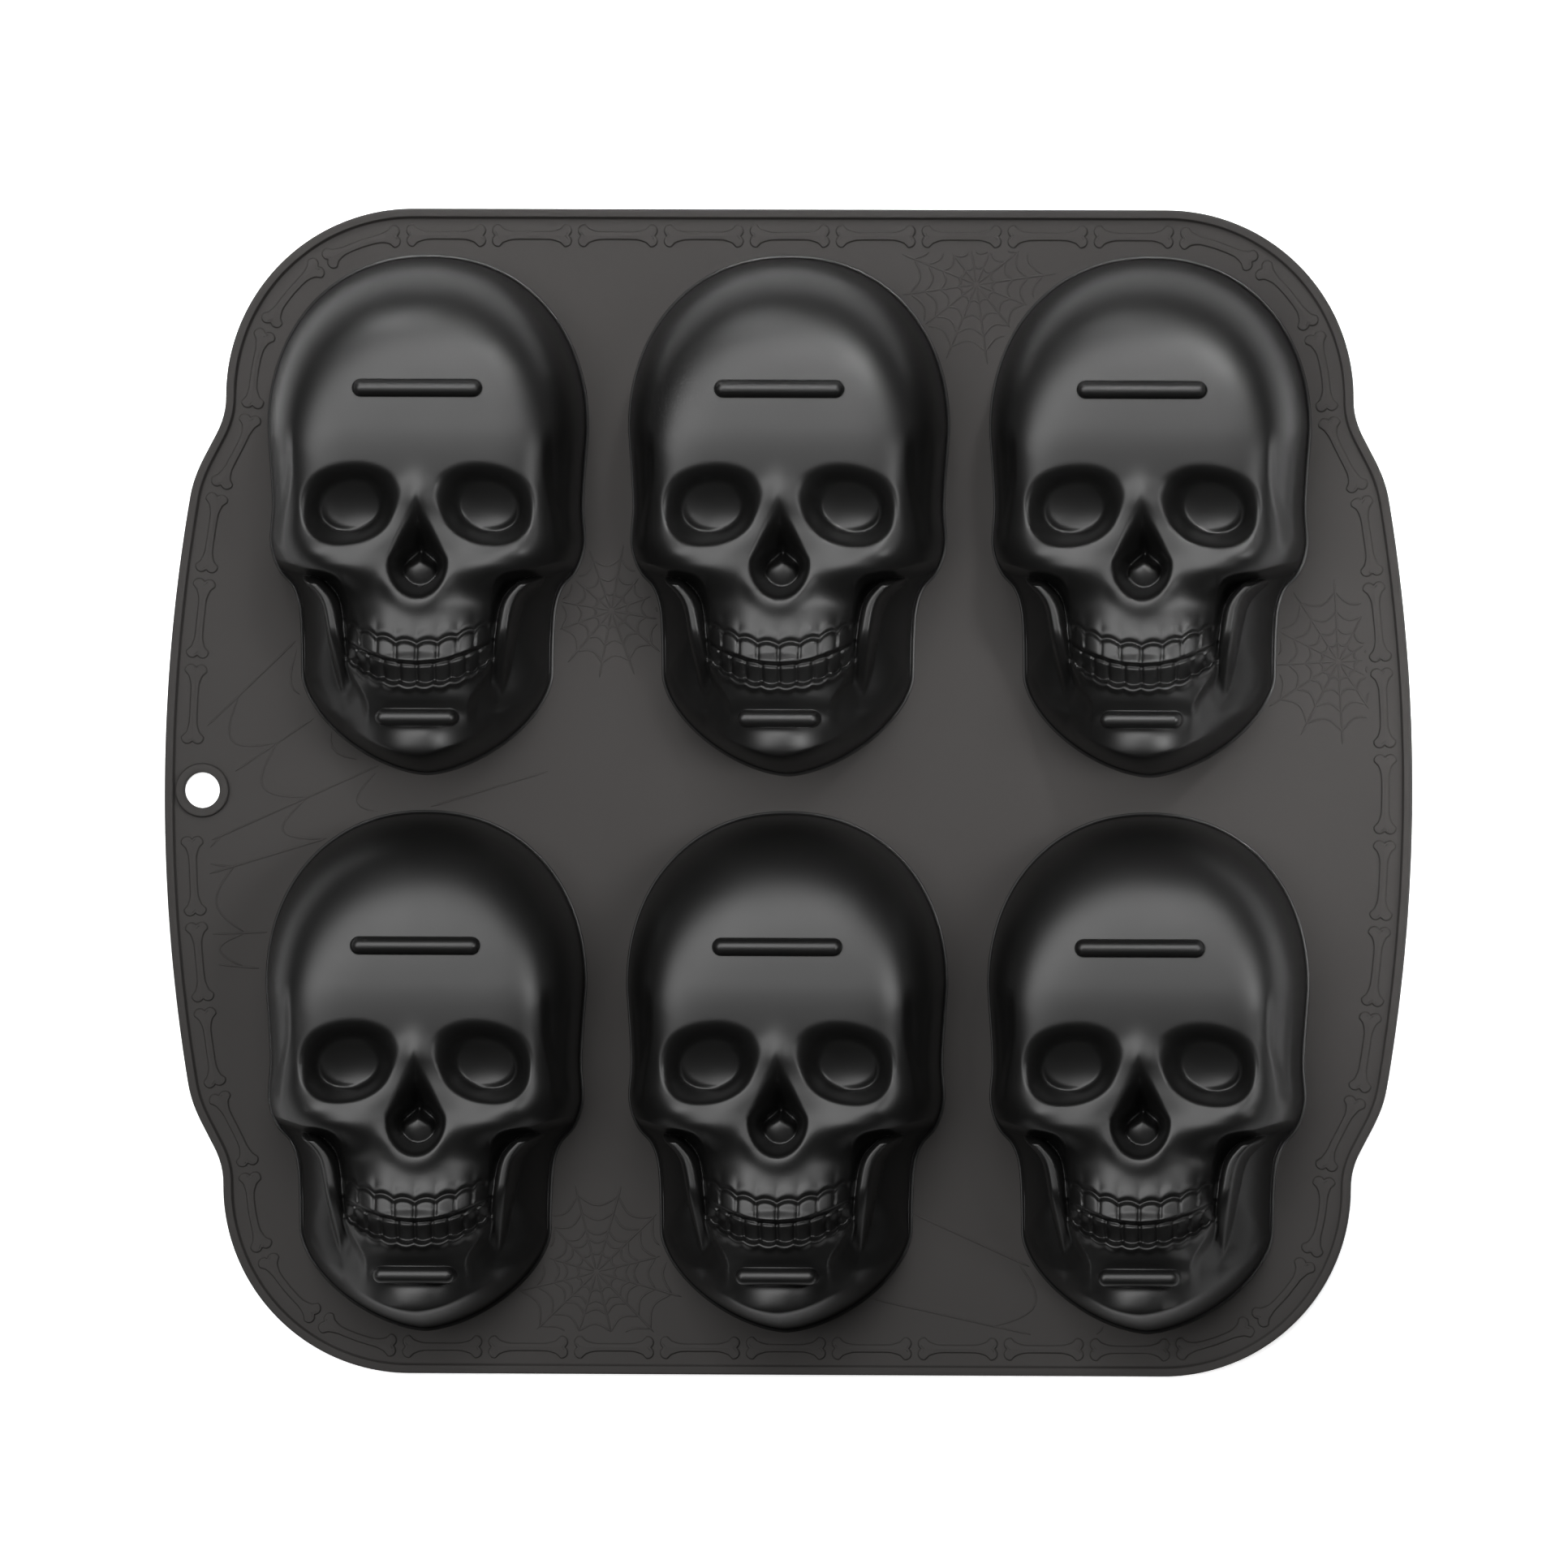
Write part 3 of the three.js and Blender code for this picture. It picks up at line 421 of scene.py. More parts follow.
def left_of(steps):
    """Unit vectors in plan, a quarter turn to the left of each step."""
    steps = steps / np.linalg.norm(steps, axis=1)[:, None]
    return np.c_[-steps[:, 1], steps[:, 0]]


def outward(points):
    """Unit vectors in plan that point out of a closed anticlockwise ring of points."""
    return -left_of(np.roll(points, -1, axis=0) - np.roll(points, 1, axis=0))


def circle(centre, radius, count):
    """Points at even steps round a circle."""
    turn = np.linspace(0.0, 2 * np.pi, count, endpoint=False)
    return np.c_[centre[0] + radius * np.cos(turn), centre[1] + radius * np.sin(turn)]


def make_mesh(name, points, faces, sharp=None):
    """Mesh of points in millimetres and lists of faces, smooth but for edges over an angle."""
    mesh = bpy.data.meshes.new(name)
    corners = np.concatenate([f.ravel() for f in faces]).astype(np.int32)
    totals = np.concatenate([np.full(len(f), f.shape[1]) for f in faces]).astype(np.int32)
    mesh.vertices.add(len(points))
    mesh.vertices.foreach_set("co", (np.asarray(points, float) * MM).ravel())
    mesh.loops.add(len(corners))
    mesh.loops.foreach_set("vertex_index", corners)
    mesh.polygons.add(len(totals))
    mesh.polygons.foreach_set("loop_start", np.r_[0, np.cumsum(totals)[:-1]].astype(np.int32))
    mesh.polygons.foreach_set("loop_total", totals)
    mesh.polygons.foreach_set("use_smooth", np.ones(len(totals), bool))
    mesh.update(calc_edges=True)
    mesh.validate()
    if sharp is not None:
        mesh.set_sharp_from_angle(angle=math.radians(sharp))
    return mesh


def place_piece(name, shape, slot, nodes=(), sharp=None):
    """Object at the origin for a shape's points and faces, in its slot's finish, riding on the
    mould's one body."""
    mesh = make_mesh(name, *shape, sharp=sharp)
    piece = bpy.data.objects.new(name, mesh)
    mesh.materials.append(slot_silicone(slot))
    bpy.context.scene.collection.objects.link(piece)
    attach(piece, "root")
    if nodes:
        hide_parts(*nodes)


def cup_places():
    """Centre of each skull in millimetres, from the boxes of the cups."""
    boxes = [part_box(f"skull_cup_{i}") for i in CUPS]
    return [np.array(((low.x + high.x) / 2 / MM, low.y / MM - SKULL_BOTTOM, low.z / MM))
            for low, high in boxes]


def cup_shell(sizes):
    """Points and faces of one cup in its own place: the outside, a round fillet that runs out over
    the web at its foot, the flat foot, and the lining one wall inside."""
    x, y, rho = skull_grid(CUP_CELLS)
    fillet = sizes.foot_fillet / MM
    outside = np.c_[x.ravel(), y.ravel(), np.maximum(skull_height(x, y, rho, sizes), fillet).ravel()]
    edge = grid_edge(*x.shape)
    ring = outside[edge, :2]
    away = outward(ring)
    turns = np.linspace(0.0, np.pi / 2, FOOT_RINGS + 1)[1:]
    steps = [(fillet * (1.0 - np.cos(turn)), fillet * (1.0 - np.sin(turn))) for turn in turns]
    steps.append((fillet, -SUNK))
    rings = np.vstack([edge, ring_numbers(len(steps), len(ring), first=len(outside))])
    points = [outside] + [np.c_[ring + away * out, np.full(len(ring), lift)] for out, lift in steps]
    faces = [grid_quads(*x.shape)] + [ring_quads(a, b) for a, b in zip(rings, rings[1:])]

    count = rings[-1, -1] + 1
    x, y, rho = skull_grid(LINING_CELLS)
    points = np.vstack(points + [lining_points(x, y, rho, sizes)])
    faces.append(grid_quads(*x.shape, first=count, flip=True))
    faces.append(bridge_rings(rings[-1], grid_edge(*x.shape, first=count), points))
    return points, faces


def lining_points(x, y, rho, sizes):
    """Inside of the cup: the outside lowered by the wall along its slope, and drawn in by the wall
    where the flank stands upright."""
    wall, step = sizes.wall / MM, LINING.step
    rise_x = (height_at(x + step, y, sizes) - height_at(x - step, y, sizes)) / (2 * step)
    rise_y = (height_at(x, y + step, sizes) - height_at(x, y - step, sizes)) / (2 * step)
    steep = np.minimum(np.sqrt(1.0 + rise_x**2 + rise_y**2), LINING.steepest)
    z = skull_height(x, y, rho, sizes) - wall * steep * (1.0 - ease(rho, LINING.thin, 1.0))
    draw = 1.0 - wall * ease(rho, LINING.draw, 1.0) / np.maximum(np.hypot(x, y), 1e-6)
    z = np.where(rho > LINING.edge, -SUNK, np.maximum(z, 0.0))
    return np.c_[(x * draw).ravel(), (y * draw).ravel(), z.ravel()]


def bridge_rings(outer, inner, points):
    """Triangles between two closed rings with different numbers of points: both are walked by
    angle, and each step of either ring makes one triangle."""
    def turned(ring):
        angle = np.arctan2(points[ring, 1], points[ring, 0])
        start = int(np.argmin(angle))
        return np.roll(ring, -start), np.roll(angle, -start)
    outer, outer_angle = turned(outer)
    inner, inner_angle = turned(inner)
    steps = np.r_[np.c_[outer_angle[1:], np.zeros(len(outer) - 1)],
                  np.c_[inner_angle[1:], np.ones(len(inner) - 1)]]
    order = steps[np.lexsort((steps[:, 1], steps[:, 0])), 1]
    i = np.r_[0, np.cumsum(order == 0)]
    j = np.r_[0, np.cumsum(order == 1)]
    first, second = outer[i], inner[j]
    third = np.where(order == 0, outer[i[1:]], inner[j[1:]])
    body = np.c_[first[:-1], third, second[:-1]][:, ::-1]
    close = np.array([[outer[-1], inner[-1], outer[0]], [inner[-1], inner[0], outer[0]]])
    return np.vstack([body, close])


def rib_shell(long, y, sizes):
    """One foot rib: rings of a stadium outline at growing insets, from a fillet on the cup's
    surface up a short wall and over a round top, closed along its middle."""
    width, crown = sizes.rib_width / MM, sizes.cup_depth / MM + sizes.rib_rise / MM
    half, radius = (long - width) / 2, width / 2
    turn = np.linspace(-np.pi / 2, np.pi / 2, 15)
    right = np.c_[half + radius * np.cos(turn), radius * np.sin(turn)]
    straight = np.linspace(half, -half, 41)[1:-1]
    edge = np.c_[straight, np.full(len(straight), radius)]
    ring = np.vstack([right, edge, -right, -edge])
    away = outward(ring)
    round_over = sizes.rib_round / MM
    # How far out each ring is, and its height below the crest or above the cup
    stations = [(RIB.fillet + RIB.skirt, None, -RIB.sunk)]
    stations += [(RIB.fillet * (1 - math.sin(t)), None, RIB.fillet * (1 - math.cos(t)))
                 for t in np.linspace(0.0, RIB.fillet_turn, 5)]
    stations += [(round_over * (math.cos(t) - 1.0), round_over * (math.sin(t) - 1.0), None)
                 for t in np.linspace(0.0, np.pi / 2, 7)]
    points = []
    for out, below_crest, above_cup in stations:
        plan = ring + away * out + (0.0, y)
        if above_cup is None:
            z = np.full(len(ring), crown + below_crest)
        else:
            z = height_at(plan[:, 0], plan[:, 1], sizes) + above_cup
        points.append(np.c_[plan, z])
    plan = np.c_[np.clip(ring[:, 0], -half, half), np.full(len(ring), y)]
    below = height_at(plan[:, 0], plan[:, 1], sizes) - RIB.sunk
    points += [np.c_[plan, np.full(len(ring), crown)], np.c_[plan, below]]
    rings = ring_numbers(len(points), len(ring))
    faces = [ring_quads(a, b, flip=True) for a, b in zip(rings[:-2], rings[1:-1])]
    faces.append(ring_quads(rings[-1], rings[0], flip=True))
    return np.vstack(points), faces


def tray_half_width(y):
    """Half width of the tray at y: the flatter of the grip's arc and the slanted shoulder, rounded
    into the straight side of the corner."""
    half_width, half_length = TRAY_HIGH.x / MM, TRAY_HIGH.y / MM
    corner_y = half_length - TRAY.corner
    corner_half = half_width - TRAY.grip_bulge
    arc = half_width - TRAY.grip_arc + np.sqrt(TRAY.grip_arc**2 - y**2)
    slant = corner_half + TRAY.slope * (corner_y - TRAY.setback - y)
    grip = -round_max(-arc, -slant, TRAY.shoulder)
    return round_max(grip, corner_half, TRAY.hollow)


def tray_outline():
    """Tray outline, anticlockwise: one quarter from the side's formula and a round corner, mirrored
    into the others, with points at even steps."""
    half_width, half_length = TRAY_HIGH.x / MM, TRAY_HIGH.y / MM
    y = np.linspace(0.0, half_length - TRAY.corner, 240)
    turn = np.linspace(0.0, np.pi / 2, 120)[1:]
    centre = (half_width - TRAY.grip_bulge - TRAY.corner, half_length - TRAY.corner)
    corner = np.c_[np.cos(turn), np.sin(turn)] * TRAY.corner + centre
    quarter = np.vstack([np.c_[tray_half_width(y), y], corner])
    path = np.vstack([quarter, quarter[::-1] * (-1, 1), quarter * (-1, -1), quarter[::-1] * (1, -1),
                      quarter[:1]])
    along = distances(path)
    return point_along(path, along, np.linspace(0.0, along[-1], TRAY.points, endpoint=False))


def point_along(path, along, at):
    """Points at the given distances along a closed path."""
    at = at % along[-1]
    return np.c_[np.interp(at, along, path[:, 0]), np.interp(at, along, path[:, 1])]


def sweep_ring(ring, profile, flip=False):
    """Closed profile of (inset, height) points carried along a closed ring, turned with it."""
    away = outward(ring)
    points = [np.c_[ring - away * inset, np.full(len(ring), z)] for inset, z in profile]
    rings = ring_numbers(len(profile), len(ring))
    faces = [ring_quads(a, b, flip=flip) for a, b in zip(rings, np.roll(rings, -1, axis=0))]
    return np.vstack(points), faces


def rounded(centre, radius, start, end, count=6):
    """Points of an arc, as (across, up), between two angles in degrees."""
    turn = np.radians(np.linspace(start, end, count))
    return [(centre[0] + radius * math.cos(t), centre[1] + radius * math.sin(t)) for t in turn]


def rim_profile(sizes):
    """Section of the rim, as (inset from the edge, height): a flat-topped bead with round corners
    and a slanted inner wall that runs out on the web."""
    web, top = WEB_TOP, WEB_TOP + sizes.rim_rise / MM
    width, corner, inner, slant = sizes.rim_width / MM, 0.45, 0.25, 0.55
    profile = [(0.35, 0.0), (0.1, 0.1), (0.0, 0.4)]
    profile += [(corner - p[0], p[1]) for p in rounded((0.0, top - corner), corner, 0, 90)]
    profile += [(width - slant + p[0], p[1]) for p in rounded((0.0, top - inner), inner, 90, 15, 4)]
    profile += [(width - 0.06, web + 0.3), (width + 0.04, web + 0.1), (width + 0.2, web + 0.01),
                (width + 0.2, web - 0.5), (width - 0.4, 0.06)]
    return profile


def ring_profile(outer, sizes):
    """Section of the hanging ring, as (inset from its edge, height): a flat top with round corners,
    a foot that runs out on the web, and the bore's wall."""
    width, top, corner = outer - sizes.ring_bore / MM / 2, WEB_TOP + sizes.ring_rise / MM, 0.4
    profile = [(-0.15, WEB_TOP - 0.1), (-0.15, WEB_TOP + 0.01), (-0.03, WEB_TOP + 0.15)]
    profile += [(corner - p[0], p[1]) for p in rounded((0.0, top - corner), corner, 0, 90)]
    profile += [(width - corner + p[0], p[1]) for p in rounded((0.0, top - corner), corner, 90, 0)]
    return profile + [(width, WEB_TOP - 0.1)]


def flat_plate(rings, low, high):
    """Points and faces of a flat plate: the first ring is its edge and the others are holes, filled
    by tessellation above and below, with upright walls between."""
    flat = [[Vector((*p, 0.0)) for p in ring] for ring in rings]
    triangles = np.array(tessellate_polygon(flat))
    plan = np.vstack(rings)
    count = len(plan)
    a, b, c = (plan[triangles[:, k]] for k in range(3))
    turn = (b[:, 0] - a[:, 0]) * (c[:, 1] - a[:, 1]) - (b[:, 1] - a[:, 1]) * (c[:, 0] - a[:, 0])
    triangles = np.where((turn > 0)[:, None], triangles, triangles[:, ::-1])
    points = np.vstack([np.c_[plan, np.full(count, high)], np.c_[plan, np.full(count, low)]])
    faces, first = [triangles, triangles[:, ::-1] + count], 0
    for k, ring in enumerate(rings):
        n = np.arange(first, first + len(ring))
        faces.append(ring_quads(n, n + count, flip=k > 0))
        first += len(ring)
    return points, faces


def mouth_ring(sizes):
    """Edge of a cavity's mouth in plan, about the skull's centre: the outline one wall in."""
    x, y, _ = skull_grid(LINING_CELLS)
    ring = np.c_[x.ravel(), y.ravel()][grid_edge(*x.shape)]
    return ring * (1.0 - sizes.wall / MM / np.linalg.norm(ring, axis=1))[:, None]


def bone_path(inset):
    """Path at an inset all round the tray, with the distance along it."""
    outline = tray_outline()
    path = outline - outward(outline) * inset
    path = np.vstack([path, path[:1]])
    return path, distances(path)


def bone_outline(look):
    """Outline of one bone lying along x, anticlockwise: a straight shaft that flares into two round
    lobes at each end, with a notch between them. The flare's corners are placed by shares of a
    lobe's radius."""
    lobe, notch = look.bone_lobe / MM, look.bone_notch / MM
    half, radius, shaft = look.bone_length / MM / 2, lobe * 0.52, look.bone_shaft / MM / 2
    centre = (half - radius, lobe - radius)
    tip = [p for p in rounded(centre, radius, -70, 100, 9) if p[1] > 0.1]
    flare = [(centre[0] - radius * 0.9, lobe - radius * 0.75), (centre[0] - radius * 1.7, shaft + 0.35),
             (centre[0] - radius * 2.6, shaft + 0.06)]
    quarter = np.array([(half - notch - 0.12, 0.0), *tip, *flare, (half * 0.3, shaft), (0.0, shaft)])
    return np.vstack([quarter, quarter[-2:0:-1] * (-1, 1), [[-quarter[0, 0], 0.0]],
                      quarter[1:] * (-1, -1), quarter[-2:0:-1] * (1, -1)])


def bone_relief(look):
    """All bones of the border as one mesh, without the one at the hanging ring: each is a low
    plateau with a sloped edge, bent along the path, and filled between its outline and its own
    middle line."""
    path, along = bone_path(look.bone_inset / MM)
    pitch = along[-1] / look.bone_count
    outline = bone_outline(look)
    away = outward(outline)
    rise, slope = look.bone_rise / MM, look.bone_slope / MM
    middle = outline * (0.86, 0.0)
    layers = [(middle, -RELIEF_SUNK), (outline + away * (slope + 0.1), -RELIEF_SUNK),
              (outline + away * slope, 0.02), (outline, rise * 0.8), (outline - away * 0.1, rise),
              (outline - away * 0.45, rise * 1.04), (middle, rise * 1.12)]
    points, faces = [], []
    for k in range(look.bone_count):
        if k == look.bone_count // 2:
            continue
        rings = ring_numbers(len(layers), len(outline), first=len(points) * len(outline))
        faces += [ring_quads(a, b, flip=True) for a, b in zip(rings, rings[1:])]
        for ring, height in layers:
            at = ring[:, 0] + k * pitch
            here = point_along(path, along, at)
            plan = here + left_of(point_along(path, along, at + BONE_STEP) - here) * ring[:, 1:]
            points.append(np.c_[plan, np.full(len(ring), WEB_TOP + height)])
    return np.vstack(points), faces


def web_strands():
    """Paths of the cobwebs in plan, in millimetres: spokes from each centre and, between them,
    scalloped rings that sag towards the centre."""
    paths = []
    for x, y, spokes, turn, rings, reach in COBWEBS:
        turns = np.radians(turn + np.linspace(0.0, 360.0, spokes + 1))
        paths += [spoke(x, y, t, np.linspace(COBWEB.eye, reach, 16)) for t in turns[:-1]]
        paths += [sagging(x, y, a, b, ring, COBWEB.sag)
                  for ring in rings for a, b in zip(turns, turns[1:])]
    for x, y, angles, rings, near, far in WEB_FANS:
        turns = np.radians(angles)
        paths += [spoke(x, y, t, np.linspace(near, far, 60)) for t in turns]
        paths += [sagging(x, y, a, b, ring, COBWEB.fan_sag)
                  for ring in rings for a, b in zip(turns, turns[1:])]
    return paths


def spoke(x, y, turn, radius):
    """Points at the given radii and turn about (x, y)."""
    return np.c_[x + radius * np.cos(turn), y + radius * np.sin(turn)]


def sagging(x, y, start, end, radius, sag):
    """Arc between two spokes whose middle hangs in towards the centre by a share of its radius."""
    share = np.linspace(0.0, 1.0, 11)
    return spoke(x, y, start + (end - start) * share, radius * (1.0 - sag * 4 * share * (1 - share)))


def free_web(points, look):
    """True where the web is bare: clear of the cups' feet, the bone border and the hanging ring."""
    free = np.hypot(*(points - hanging_place()).T) > COBWEB.off_hole
    for place in cup_places():
        x, y = (points - place[:2]).T
        free &= np.hypot(x, y) > outline_radius(x, y) + COBWEB.off_cup
    path = bone_path(look.bone_inset / MM)[0]
    gap = np.hypot(points[:, :1] - path[:, 0], points[:, 1:] - path[:, 1]).min(axis=1)
    return free & (gap > COBWEB.off_bones) & inner_side(points, path)


def inner_side(points, path):
    """True for points inside a closed path, by the crossings of a line to the right."""
    a, b = path[:-1], path[1:]
    x, y = points[:, :1], points[:, 1:]
    spans = (a[:, 1] > y) != (b[:, 1] > y)
    rise = np.where(b[:, 1] == a[:, 1], 1e-9, b[:, 1] - a[:, 1])
    cross = a[:, 0] + (y - a[:, 1]) / rise * (b[:, 0] - a[:, 0])
    return (spans & (x < cross)).sum(axis=1) % 2 == 1


def hanging_place():
    """Centre of the hanging hole in plan, in millimetres."""
    low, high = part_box("hanging_ring")
    return (low.x + high.x) / 2 / MM, (low.y + high.y) / 2 / MM


def strand_relief(look):
    """Cobwebs as low closed ridges along their paths, narrowed at both ends, and cut where the web
    is not bare."""
    half, rise = look.strand_width / MM / 2, look.strand_rise / MM
    section = np.array([(-half, -RELIEF_SUNK), (half, -RELIEF_SUNK), (half, -0.02),
                        (half * 0.5, rise * 0.8), (0.0, rise), (-half * 0.5, rise * 0.8), (-half, -0.02)])
    paths = web_strands()
    ends = np.cumsum([len(path) for path in paths])
    points, faces, count = [], [], 0
    for path, bare in zip(paths, np.split(free_web(np.vstack(paths), look), ends[:-1])):
        marks = np.flatnonzero(np.diff(np.r_[0, bare.astype(int), 0]))
        for first, last in zip(marks[::2], marks[1::2]):
            if last - first < COBWEB.least:
                continue
            line = path[first:last]
            side = left_of(np.gradient(line, axis=0))
            share = np.ones((len(line), 1))
            share[[0, -1]] = COBWEB.tip
            plan = line[:, None] - side[:, None] * section[:, :1] * share[:, None]
            height = np.minimum(section[:, 1], section[:, 1] * share)
            points.append(np.c_[plan.reshape(-1, 2), WEB_TOP + height.ravel()])
            rings = ring_numbers(len(line), len(section), first=count)
            count += rings.size
            faces += [ring_quads(a, b) for a, b in zip(rings, rings[1:])]
            faces += [rings[0][None, :], rings[-1][None, ::-1]]
    return np.vstack(points), faces


def length_property(name, description, default):
    """Length property, in metres."""
    return FloatProperty(name=name, description=description, default=default, unit="LENGTH")


def factor_property(name, description, default, most=1.0):
    """Factor property, from 0 to its most."""
    return FloatProperty(name=name, description=description, default=default, subtype="FACTOR",
                         min=0.0, max=most)


def colour_property(name, description, default):
    """Colour property, linear red, green, blue and alpha."""
    return FloatVectorProperty(name=name, description=description, default=default, subtype="COLOR",
                               size=4, min=0.0, max=1.0)


def power_property(name, description, default):
    """Power property of a light, in watts."""
    return FloatProperty(name=name, description=description, default=default, min=0.0, unit="POWER")


def angle_property(name, description, degrees):
    """Angle property, its default given in degrees."""
    return FloatProperty(name=name, description=description, default=math.radians(degrees),
                         subtype="ANGLE")


class Mould_Sizes(bpy.types.PropertyGroup):
    """Driving sizes of the cups, ribs and tray."""
    cup_depth: length_property("Cup depth", "Height of a skull above the web", 0.034)
    wall: length_property("Wall", "Thickness of a cup", 0.0016)
    foot_fillet: length_property("Foot fillet", "Radius where a cup meets the web", 0.0009)
    eye_depth: length_property("Eye depth", "Eyeball's top below the crown of the cup", 0.0100)
    nose_depth: length_property("Nose depth", "Depth of the nose opening", 0.015)
    tooth_relief: factor_property("Tooth relief", "Strength of the teeth", 1.0, 2.0)
    rib_width: length_property("Rib width", "Width of a foot rib", 0.0038)
    rib_rise: length_property("Rib rise", "Rib crest above the cups", 0.002)
    rib_round: length_property("Rib round", "Radius of a rib's top edges", 0.0018)
    forehead_rib: length_property("Forehead rib", "Length of the rib over the brow", 0.0303)
    forehead_rib_y: length_property("Forehead rib place", "Rib's distance above the centre", 0.0292)
    chin_rib: length_property("Chin rib", "Length of the rib on the chin", 0.0193)
    chin_rib_y: length_property("Chin rib place", "Rib's distance from the centre", -0.0483)
    rim_width: length_property("Rim width", "Width of the rim bead", 0.00225)
    rim_rise: length_property("Rim rise", "Rim bead above the web", 0.0014)
    ring_rise: length_property("Ring rise", "Hanging ring above the web", 0.0014)
    ring_bore: length_property("Hanging hole", "Diameter of the hanging hole", 0.0084)


class Mould_Relief(bpy.types.PropertyGroup):
    """Low ornament on the web."""
    bone_count: IntProperty(name="Bones", description="Places round the border", default=48, min=8)
    bone_length: length_property("Bone length", "Length of one bone", 0.0186)
    bone_lobe: length_property("Bone end", "Half width across a bone's lobes", 0.00255)
    bone_shaft: length_property("Bone shaft", "Width of the shaft", 0.0016)
    bone_notch: length_property("Bone notch", "Depth of the notch at each end", 0.0005)
    bone_inset: length_property("Border inset", "Bones' middle line inside the edge", 0.0063)
    bone_rise: length_property("Bone rise", "Height of a bone", 0.00055)
    bone_slope: length_property("Bone edge", "Width of a bone's sloped edge", 0.0002)
    strand_width: length_property("Strand width", "Width of a cobweb's ridge", 0.00055)
    strand_rise: length_property("Strand rise", "Height of a cobweb's ridge", 0.00015)


class Mould_Finish(bpy.types.PropertyGroup):
    """Colour and surface of the silicone, with painted shade in the cups' colour."""
    web_color: colour_property("Web colour", "Colour of the tray", (0.0275, 0.0250, 0.0236, 1.0))
    # The cups' dark silicone colour, pushed well below the web's colour of the same silicone as painted
    # shade, so that flanks and hollows render near black
    cup_color_with_painted_shade: colour_property("Cup colour", "Colour of the cups", (0.0048, 0.0047, 0.0046, 1.0))
    web_roughness: factor_property("Web roughness", "Roughness of the tray", 0.8)
    cup_roughness: factor_property("Cup roughness", "Roughness of the cups", 0.42)


class Mould_Stage(bpy.types.PropertyGroup):
    """Camera and light."""
    lens: FloatProperty(name="Lens", description="Focal length", default=800.0,
                        subtype="DISTANCE_CAMERA")
    distance: length_property("Distance", "Camera from the tray", 8.2244)
    tilt: angle_property("Tilt", "Camera off the vertical towards the right", 4.0)
    roll: angle_property("Roll", "Turn of the tray in the picture", 0.2)
    key_power: power_property("Key light", "Power of the key light", 36.5)
    side_power: power_property("Side light", "Power of the light from the right", 0.17)
    top_power: power_property("Top light", "Power of the low light past the crowns", 0.25)
    crown_power: power_property("Crown light", "Power of the light on the upper row", 0.12)
    jaw_power: power_property("Jaw light", "Power of the low light on the right jaws", 0.009)


def node(tree, kind, values=(), **settings):
    """New shader node with its settings and the values of its inputs."""
    made = tree.nodes.new(kind)
    for key, value in settings.items():
        setattr(made, key, value)
    for key, value in dict(values).items():
        made.inputs[key].default_value = value
    return made


def wire(tree, *rows):
    """Links, each given as a node and its output, then a node and its input."""
    for source, output, target, socket in rows:
        tree.links.new(source.outputs[output], target.inputs[socket])


def skin_group():
    """Shader group for moulded silicone: cloudy colour and gloss, and a fine grain for the normal."""
    tree = bpy.data.node_groups.new("Silicone Skin", "ShaderNodeTree")
    for name, kind in (("Coordinates", "NodeSocketVector"), ("Color", "NodeSocketColor"),
                       ("Roughness", "NodeSocketFloat"), ("Grain", "NodeSocketFloat")):
        tree.interface.new_socket(name, in_out="INPUT", socket_type=kind)
    for name, kind in (("Color", "NodeSocketColor"), ("Roughness", "NodeSocketFloat"),
                       ("Normal", "NodeSocketVector")):
        tree.interface.new_socket(name, in_out="OUTPUT", socket_type=kind)
    given = node(tree, "NodeGroupInput")
    result = node(tree, "NodeGroupOutput")
    cloud = node(tree, "ShaderNodeTexNoise", {"Scale": 60.0, "Detail": 5.0, "Roughness": 0.6})
    shade = node(tree, "ShaderNodeMapRange", {"To Min": 0.9, "To Max": 1.1})
    tint = node(tree, "ShaderNodeMix", {"Factor": 1.0}, data_type="RGBA", blend_type="MULTIPLY")
    gloss = node(tree, "ShaderNodeMapRange", {"To Min": -0.05, "To Max": 0.05})
    add = node(tree, "ShaderNodeMath", operation="ADD", use_clamp=True)
    grain = node(tree, "ShaderNodeTexNoise", {"Scale": 2600.0, "Detail": 3.0, "Roughness": 0.6})
    bump_node = node(tree, "ShaderNodeBump", {"Distance": 0.00002})
    wire(tree,
         (given, "Coordinates", cloud, "Vector"), (given, "Coordinates", grain, "Vector"),
         (cloud, "Fac", shade, "Value"), (given, "Color", tint, "A"), (shade, "Result", tint, "B"),
         (cloud, "Fac", gloss, "Value"), (given, "Roughness", add, 0), (gloss, "Result", add, 1),
         (grain, "Fac", bump_node, "Height"), (given, "Grain", bump_node, "Strength"),
         (tint, "Result", result, "Color"), (add, "Value", result, "Roughness"),
         (bump_node, "Normal", result, "Normal"))
    return tree


def silicone(name, color, roughness, grain):
    """Material of moulded silicone, made once and then used again."""
    if name in bpy.data.materials:
        return bpy.data.materials[name]
    material = bpy.data.materials.new(name)
    material.use_nodes = True
    tree = material.node_tree
    shader = tree.nodes["Principled BSDF"]
    shader.inputs["IOR"].default_value = 1.5
    place = node(tree, "ShaderNodeTexCoord")
    group = bpy.data.node_groups.get("Silicone Skin") or skin_group()
    skin = node(tree, "ShaderNodeGroup", node_tree=group)
    for key, value in (("Color", color), ("Roughness", roughness), ("Grain", grain)):
        skin.inputs[key].default_value = value
    wire(tree,
         (place, "Object", skin, "Coordinates"), (skin, "Color", shader, "Base Color"),
         (skin, "Roughness", shader, "Roughness"), (skin, "Normal", shader, "Normal"))
    return material


def slot_silicone(slot):
    """Finish of a slot: dull and grainy on the web; smoother on the cups and ribs, whose colour is painted
    shade, darker than the web's.
    """
    finish = bpy.context.scene.mould_finish
    if slot == "web":
        return silicone("Web Silicone", finish.web_color, finish.web_roughness, grain=0.6)
    return silicone("Cup Silicone With Painted Shade", finish.cup_color_with_painted_shade, finish.cup_roughness, grain=0.4)


